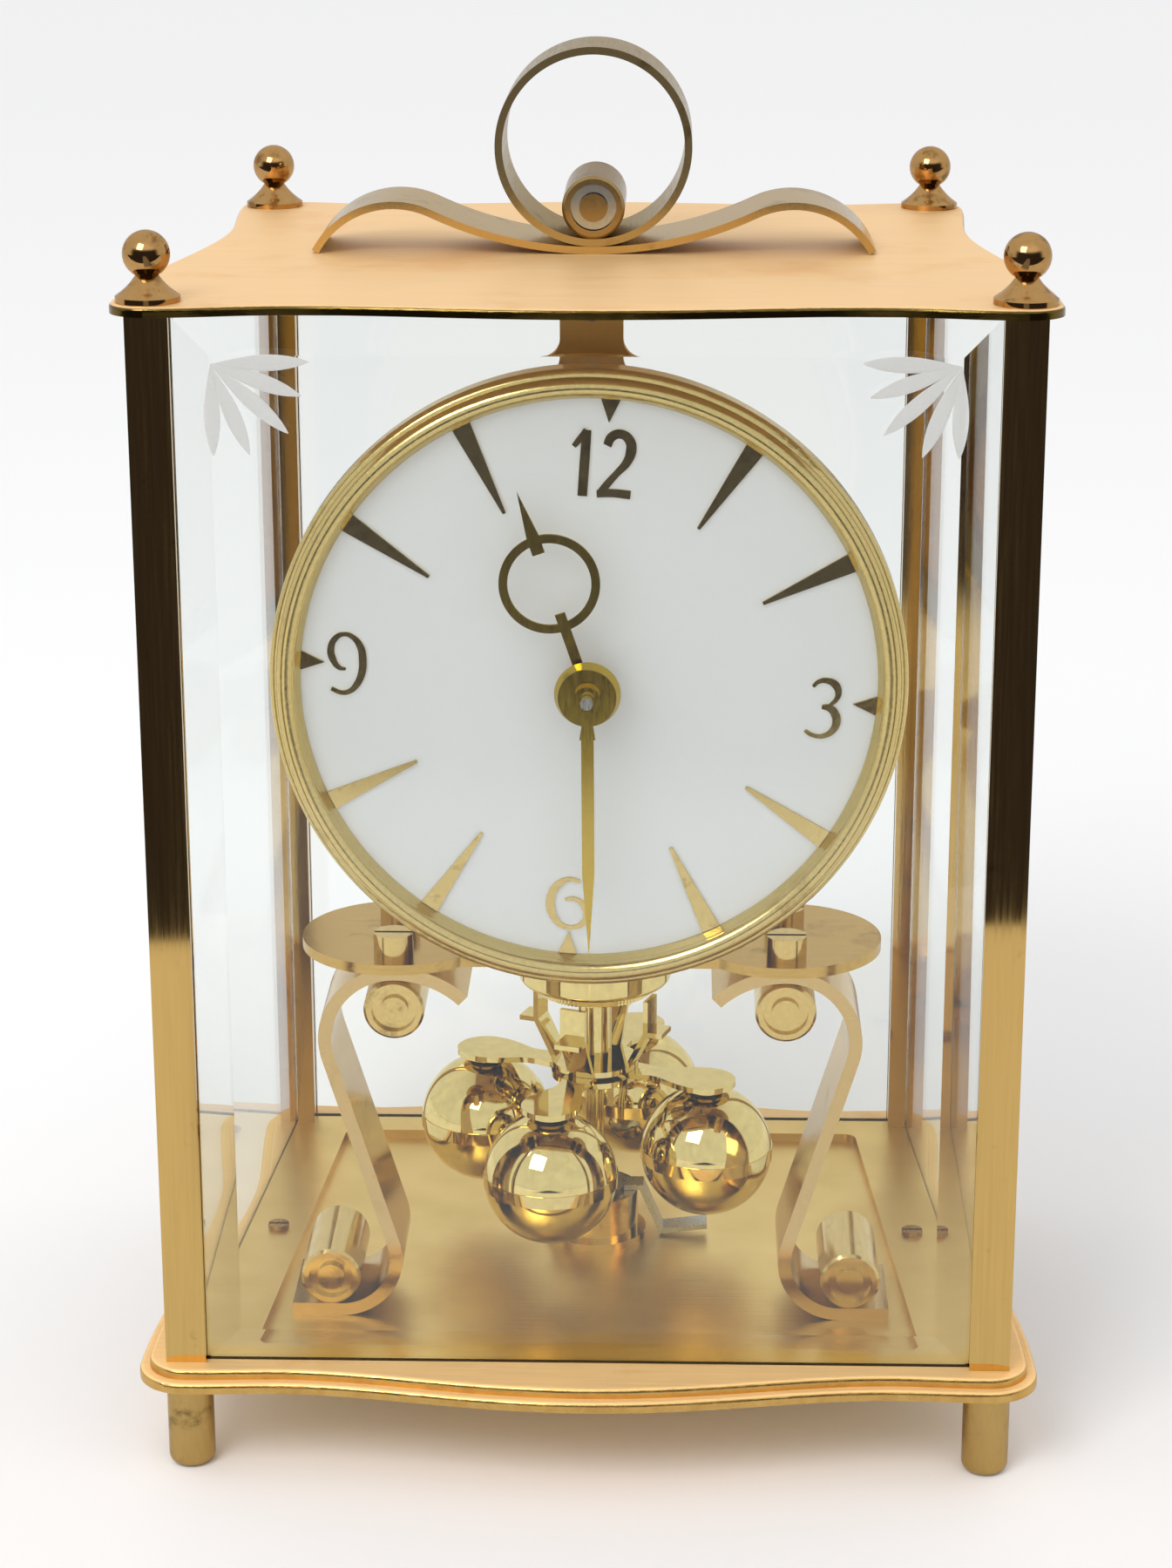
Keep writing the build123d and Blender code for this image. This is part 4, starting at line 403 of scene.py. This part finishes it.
def deselect():
    """Leaves edit mode and clears the selection."""
    if bpy.context.object and bpy.context.object.mode != "OBJECT":
        bpy.ops.object.mode_set(mode="OBJECT")
    bpy.ops.object.select_all(action="DESELECT")


def join(pieces):
    """Makes one mesh of new pieces, with its doubles merged and its faces turned outwards."""
    deselect()
    for piece in pieces:
        piece.select_set(True)
    bpy.context.view_layer.objects.active = pieces[0]
    if len(pieces) > 1:
        bpy.ops.object.join()
    bpy.ops.object.mode_set(mode="EDIT")
    bpy.ops.mesh.select_all(action="SELECT")
    bpy.ops.mesh.remove_doubles(threshold=1e-6)
    bpy.ops.mesh.normals_make_consistent(inside=False)
    bpy.ops.object.mode_set(mode="OBJECT")
    return bpy.context.object


def seat(piece, turn):
    """Applies a piece's place to its mesh, so that its object sits at the origin."""
    deselect()
    piece.select_set(True)
    bpy.context.view_layer.objects.active = piece
    piece.matrix_world = turn @ piece.matrix_world
    bpy.ops.object.transform_apply(location=True, rotation=True, scale=True)


# Numerals: strokes of changing width, each given as (right, up, width) in millimetres from the dial's
# middle; their faces are flat, as on the applied markers
numeral_height = 0.35 * MM
stroke_step = 0.02 * MM  # each later stroke is lower by this, so that crossing strokes share no face
dial_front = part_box("dial")[0].y
dial_middle = middle_of("bezel")
numerals = {
    "twelve": [
        [(-2.07, 34.91, 0.7), (-1.13, 36.01, 0.97), (-0.11, 37.1, 1.24)],
        [(-0.21, 37.24, 1.3), (-0.54, 32.59, 1.41), (-0.88, 27.69, 1.36)],
        [(2.69, 35.01, 1.24), (3.3, 36.22, 1.35), (4.65, 36.66, 1.3), (5.91, 35.68, 1.4), (6.08, 34.21, 1.51),
         (5.46, 32.56, 1.24), (4.04, 30.96, 0.97), (2.64, 29.36, 1.08), (1.77, 28.15, 1.19)],
        [(1.18, 28.01, 1.08), (3.45, 28.1, 1.19), (6.01, 27.83, 1.25)],
    ],
    "three": [
        [(32.53, -0.36, 0.48), (33.29, 0.35, 0.6), (34.54, 0.53, 0.82), (35.79, -0.14, 1.14),
         (36.2, -1.24, 0.95), (35.9, -2.3, 0.68), (35.09, -3.11, 0.49)],
        [(33.84, -3.42, 0.6), (35.01, -3.62, 1.09), (35.85, -4.67, 1.26), (36.0, -5.68, 1.19),
         (35.55, -6.88, 0.97), (34.5, -7.7, 0.73), (33.34, -7.87, 0.6), (32.22, -7.55, 0.58),
         (31.44, -7.01, 0.51)],
    ],
    "six": [
        [(-1.3, -30.51, 0.5), (-2.9, -30.15, 0.59), (-4.5, -30.94, 1.01), (-5.55, -32.63, 1.25),
         (-5.7, -34.43, 1.31), (-5.15, -36.16, 1.04), (-3.96, -37.38, 0.74), (-2.33, -37.65, 0.57),
         (-0.92, -37.07, 0.74), (-0.36, -35.65, 1.04), (-0.76, -34.27, 0.92), (-1.8, -33.33, 0.62),
         (-2.91, -33.19, 0.44), (-3.53, -33.35, 0.36)],
    ],
    "nine": [
        [(-35.25, 1.86, 0.34), (-36.21, 2.09, 0.68), (-37.14, 3.49, 1.02), (-37.37, 4.78, 1.04),
         (-36.67, 6.47, 0.85), (-35.36, 7.1, 0.59), (-34.07, 6.61, 0.74), (-33.03, 5.15, 1.04),
         (-32.76, 3.4, 1.13), (-32.94, 1.29, 1.1), (-33.65, -0.36, 0.97), (-34.7, -1.43, 0.74),
         (-35.84, -1.69, 0.63), (-37.42, -1.09, 0.59)],
    ],
}

# Square pen that the strokes are drawn with
deselect()
bpy.ops.curve.primitive_bezier_curve_add()
pen = bpy.context.object
pen.data.splines.clear()
nib = pen.data.splines.new("POLY")
nib.points.add(3)
for point, corner in zip(nib.points, ((-0.5, -0.5), (0.5, -0.5), (0.5, 0.5), (-0.5, 0.5))):
    point.co = (corner[0], corner[1], 0.0, 1.0)
nib.use_cyclic_u = True

on_dial = Vector((dial_middle.x, dial_front, dial_middle.z))
stand_up = Matrix.Translation(on_dial) @ Matrix.Rotation(pi / 2, 4, "X")
for name, strokes in numerals.items():
    drawn_strokes = []
    for index, stroke in enumerate(strokes):
        deselect()
        bpy.ops.curve.primitive_bezier_curve_add()
        line = bpy.context.object
        spline = line.data.splines[0]
        spline.bezier_points.add(len(stroke) - 2)
        for point, (right, up, width) in zip(spline.bezier_points, stroke):
            point.co = (right * MM, up * MM, 0.0)
            point.handle_left_type = "AUTO"
            point.handle_right_type = "AUTO"
            point.radius = width * MM
        line.data.twist_mode = "Z_UP"
        line.data.resolution_u = 8
        line.data.bevel_mode = "OBJECT"
        line.data.bevel_object = pen
        line.data.use_fill_caps = True
        bpy.ops.object.convert(target="MESH")
        height = numeral_height - index * stroke_step
        for vertex in line.data.vertices:
            vertex.co.z = height if vertex.co.z > 0 else 0.0
        drawn_strokes.append(line)
    numeral = join(drawn_strokes)
    numeral.name = "numeral_" + name
    bpy.ops.object.shade_flat()
    seat(numeral, stand_up)
    numeral.data.materials.clear()
    numeral.data.materials.append(gilt_brass)
    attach(numeral, "case")
bpy.data.objects.remove(pen)

# Leaf sprays cut in the top corners of the front glass: each leaf is (length in millimetres, bearing in
# degrees), widest past its middle
pane_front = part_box("front_glass")[0].y
leaf_width = 2.3 * MM
leaf_depth = 0.2 * MM
leaf_proud = 0.1 * MM
spray_side = 51.4 * MM
spray_height = 168.7 * MM
leaves = ((13.6, 1.5), (13.2, -19.5), (14.3, -42.5), (13.7, -68.0), (12.9, -89.7))
for side in (-1, 1):
    cuts = []
    for length, bearing in leaves:
        deselect()
        bpy.ops.mesh.primitive_uv_sphere_add(
            segments=8, ring_count=24, radius=1.0, rotation=(0.0, pi / 2, 0.0))
        leaf = bpy.context.object
        bpy.ops.object.transform_apply(location=True, rotation=True, scale=True)
        for vertex in leaf.data.vertices:
            run = (vertex.co.x + 1) / 2
            swell = sin(pi * run ** 1.25) ** 0.8 if 0 < run < 1 else 0.0
            ring = max((1 - vertex.co.x ** 2) ** 0.5, 0.01)
            across = vertex.co.y / ring
            deep = vertex.co.z / ring
            vertex.co = (run * length * MM, across * swell * leaf_width / 2, deep * swell * leaf_depth / 2)
        turn = radians(bearing if side < 0 else 180 - bearing)
        stalk = Vector((side * spray_side, pane_front - leaf_proud + leaf_depth / 2, spray_height))
        leaf.matrix_world = (
            Matrix.Translation(stalk) @ Matrix.Rotation(pi / 2, 4, "X") @ Matrix.Rotation(turn, 4, "Z"))
        bpy.ops.object.transform_apply(location=True, rotation=True, scale=True)
        cuts.append(leaf)
    spray = join(cuts)
    spray.name = "leaf_spray_left" if side < 0 else "leaf_spray_right"
    spray.data.materials.clear()
    spray.data.materials.append(ground_glass)
    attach(spray, "case")

# Floor: a pale table; in front of the clock, polished metal that mirrors it shows the dark room instead.
# Its zones are in metres from the clock's middle, each from where it starts to where it ends
room_askew = -0.024  # how far the zones shift sideways along the table
post_spread = 0.104  # how fast the gap between the posts' zones widens to the front
post_side = (0.047, 0.056)
post_slant = 0.08
post_front = (-0.292, -0.288)
middle_front = (-0.2, -0.12)
middle_veil = 0.7  # the dark between the posts' zones is thinner
glass_front = (-0.43, -0.35)
glass_side = (0.13, 0.2)
# where the painted shade on the paper starts and ends
paper_shade_front = (-0.3, 0.2)
deselect()
bpy.ops.mesh.primitive_plane_add(size=8.0)
table = bpy.context.object
table.name = "table"
paper, tree, shader = new_material("white_paper_table")
place = add_node(tree, "ShaderNodeTexCoord")
split = add_node(tree, "ShaderNodeSeparateXYZ", inputs={"Vector": place.outputs["Object"]})
lean = add_node(tree, "ShaderNodeMath", {"operation": "MULTIPLY_ADD"}, {
    0: split.outputs["Y"], 1: room_askew, 2: split.outputs["X"]})
aside = add_node(tree, "ShaderNodeMath", {"operation": "ABSOLUTE"}, {0: lean.outputs["Value"]})
spread = add_node(tree, "ShaderNodeMath", {"operation": "MULTIPLY_ADD"}, {
    0: split.outputs["Y"], 1: post_spread, 2: aside.outputs["Value"]})
sides = add_node(tree, "ShaderNodeMapRange", {"interpolation_type": "SMOOTHSTEP"}, {
    "Value": spread.outputs["Value"], "From Min": post_side[0], "From Max": post_side[1],
    "To Min": 0.0, "To Max": 1.0})
slant = add_node(tree, "ShaderNodeMath", {"operation": "MULTIPLY_ADD"}, {
    0: split.outputs["X"], 1: post_slant, 2: split.outputs["Y"]})
ahead = add_node(tree, "ShaderNodeMapRange", {"interpolation_type": "SMOOTHSTEP"}, {
    "Value": slant.outputs["Value"], "From Min": post_front[0], "From Max": post_front[1],
    "To Min": 1.0, "To Max": 0.0})
corners = add_node(tree, "ShaderNodeMath", {"operation": "MULTIPLY"}, {
    0: sides.outputs["Result"], 1: ahead.outputs["Result"]})
middle = add_node(tree, "ShaderNodeMapRange", {"interpolation_type": "SMOOTHSTEP"}, {
    "Value": split.outputs["Y"], "From Min": middle_front[0], "From Max": middle_front[1],
    "To Min": middle_veil, "To Max": 0.0})
between = add_node(tree, "ShaderNodeMath", {"operation": "SUBTRACT"}, {0: 1.0, 1: sides.outputs["Result"]})
front = add_node(tree, "ShaderNodeMath", {"operation": "MULTIPLY_ADD"}, {
    0: middle.outputs["Result"], 1: between.outputs["Value"], 2: corners.outputs["Value"]})
path = add_node(tree, "ShaderNodeLightPath")
bounced = add_node(tree, "ShaderNodeMath", {"operation": "SUBTRACT", "use_clamp": True}, {
    0: path.outputs["Is Glossy Ray"], 1: path.outputs["Is Transmission Ray"]})
outside = add_node(tree, "ShaderNodeMath", {"operation": "MULTIPLY"}, {
    0: front.outputs["Value"], 1: bounced.outputs["Value"]})

# What metal behind the front glass mirrors: the room is dark beyond the near half of the table
fade = add_node(tree, "ShaderNodeMapRange", {"interpolation_type": "SMOOTHSTEP"}, {
    "Value": split.outputs["Y"], "From Min": glass_front[0], "From Max": glass_front[1],
    "To Min": 1.0, "To Max": 0.0})
narrow = add_node(tree, "ShaderNodeMapRange", {"interpolation_type": "SMOOTHSTEP"}, {
    "Value": aside.outputs["Value"], "From Min": glass_side[0], "From Max": glass_side[1],
    "To Min": 1.0, "To Max": 0.0})
shiny = add_node(tree, "ShaderNodeMath", {"operation": "MULTIPLY", "use_clamp": True}, {
    0: path.outputs["Glossy Depth"], 1: path.outputs["Is Transmission Ray"]})
sharp = add_node(tree, "ShaderNodeMath", {"operation": "SUBTRACT", "use_clamp": True}, {
    0: shiny.outputs["Value"], 1: path.outputs["Diffuse Depth"]})
inside = add_node(tree, "ShaderNodeMath", {"operation": "MULTIPLY"}, {
    0: fade.outputs["Result"], 1: narrow.outputs["Result"]})
mirrored = add_node(tree, "ShaderNodeMath", {"operation": "MULTIPLY_ADD"}, {
    0: inside.outputs["Value"], 1: sharp.outputs["Value"], 2: outside.outputs["Value"]})

# Painted shade: the paper is painted a little warmer and darker towards the front
near = add_node(tree, "ShaderNodeMapRange", {"interpolation_type": "SMOOTHSTEP"}, {
    "Value": split.outputs["Y"], "From Min": paper_shade_front[0], "From Max": paper_shade_front[1],
    "To Min": 1.0, "To Max": 0.0})
shaded_paper = add_node(tree, "ShaderNodeMix", {"data_type": "RGBA"}, {
    "Factor": near.outputs["Result"], "A": linear("#f2f2f3"), "B": linear("#e5e1df")})
tree.links.new(shaded_paper.outputs["Result"], shader.inputs["Base Color"])
shader.inputs["Roughness"].default_value = 0.9
shader.inputs["Specular IOR Level"].default_value = 0.1
dark = add_node(tree, "ShaderNodeEmission", inputs={"Color": linear(DARK_ROOM), "Strength": 1.0})
either = add_node(tree, "ShaderNodeMixShader", inputs={
    0: mirrored.outputs["Value"], 1: shader.outputs["BSDF"], 2: dark.outputs["Emission"]})
tree.links.new(either.outputs["Shader"], tree.nodes["Material Output"].inputs["Surface"])
table.data.materials.append(paper)

# World: soft white all round, brighter overhead, with some fill from the front; open metal mirrors a dark
# room low in front of the clock. Its zones are in directions, from where each starts to where it ends
room_height = (0.3, 0.55)
room_front = (-0.6, -0.2)
sky_height = (-0.1, 0.9)
sky_light = (0.84, 0.95)
fill_front = (-0.9, -0.2)
fill_light = 0.35
world = bpy.data.worlds.new("studio")
bpy.context.scene.world = world
world.use_nodes = True
tree = world.node_tree
tree.nodes.clear()
place = add_node(tree, "ShaderNodeTexCoord")
split = add_node(tree, "ShaderNodeSeparateXYZ", inputs={"Vector": place.outputs["Generated"]})
low = add_node(tree, "ShaderNodeMapRange", {"interpolation_type": "SMOOTHSTEP"}, {
    "Value": split.outputs["Z"], "From Min": room_height[0], "From Max": room_height[1],
    "To Min": 1.0, "To Max": 0.0})
ahead = add_node(tree, "ShaderNodeMapRange", {"interpolation_type": "SMOOTHSTEP"}, {
    "Value": split.outputs["Y"], "From Min": room_front[0], "From Max": room_front[1],
    "To Min": 1.0, "To Max": 0.0})
room = add_node(tree, "ShaderNodeMath", {"operation": "MULTIPLY"}, {
    0: low.outputs["Result"], 1: ahead.outputs["Result"]})
path = add_node(tree, "ShaderNodeLightPath")
bounced = add_node(tree, "ShaderNodeMath", {"operation": "SUBTRACT", "use_clamp": True}, {
    0: path.outputs["Is Glossy Ray"], 1: path.outputs["Is Transmission Ray"]})
seen = add_node(tree, "ShaderNodeMath", {"operation": "MULTIPLY"}, {
    0: room.outputs["Value"], 1: bounced.outputs["Value"]})
sky = add_node(tree, "ShaderNodeMapRange", {"interpolation_type": "SMOOTHSTEP"}, {
    "Value": split.outputs["Z"], "From Min": sky_height[0], "From Max": sky_height[1],
    "To Min": sky_light[0], "To Max": sky_light[1]})
fill = add_node(tree, "ShaderNodeMapRange", {"interpolation_type": "SMOOTHSTEP"}, {
    "Value": split.outputs["Y"], "From Min": fill_front[0], "From Max": fill_front[1],
    "To Min": fill_light, "To Max": 0.0})
soft = add_node(tree, "ShaderNodeMath", {"operation": "ADD"}, {
    0: sky.outputs["Result"], 1: fill.outputs["Result"]})
light = add_node(tree, "ShaderNodeMix", {"data_type": "RGBA"}, {
    "Factor": seen.outputs["Value"], "A": soft.outputs["Value"], "B": linear(DARK_ROOM)})
through = add_node(tree, "ShaderNodeMath", {"operation": "SUBTRACT", "use_clamp": True}, {
    0: path.outputs["Is Transmission Ray"], 1: path.outputs["Diffuse Depth"]})
shown = add_node(tree, "ShaderNodeMath", {"operation": "MAXIMUM"}, {
    0: path.outputs["Is Camera Ray"], 1: through.outputs["Value"]})
backdrop = add_node(tree, "ShaderNodeMix", {"data_type": "RGBA"}, {
    "Factor": shown.outputs["Value"], "A": light.outputs["Result"], "B": linear("#f1f1f3")})
glow = add_node(tree, "ShaderNodeBackground", inputs={
    "Color": backdrop.outputs["Result"], "Strength": 1.0})
add_node(tree, "ShaderNodeOutputWorld", inputs={"Surface": glow.outputs["Background"]})

# Soft box over the front left, which throws the hands' shadows to the right
softbox_place = Vector((-0.4, -0.75, 0.85))
softbox_target = Vector((0.0, 0.0, 0.1))
deselect()
bpy.ops.object.light_add(type="AREA", location=softbox_place)
softbox = bpy.context.object
softbox.data.energy = 5.6
softbox.data.size = 0.5
softbox.rotation_euler = (softbox_target - softbox_place).to_track_quat("-Z", "Y").to_euler()

# Camera at the photograph's place, with its turns in radians
camera_place = Vector((12.95, -520.66, 256.4)) * MM
yaw, pitch, roll = 0.0274, -0.3033, 0.0015
turn = Matrix.Rotation(yaw, 3, "Z") @ Matrix.Rotation(pitch, 3, "X") @ Matrix.Rotation(roll, 3, "Y")
aim = Matrix((turn.col[0], turn.col[2], -turn.col[1])).transposed()
deselect()
bpy.ops.object.camera_add()
camera = bpy.context.object
camera.matrix_world = Matrix.Translation(camera_place) @ aim.to_4x4()
camera.data.sensor_fit = "HORIZONTAL"
camera.data.sensor_width = 36.0
camera.data.lens = 107.15
camera.data.clip_start = 0.01
bpy.context.scene.camera = camera
bpy.context.scene.view_settings.view_transform = "Standard"
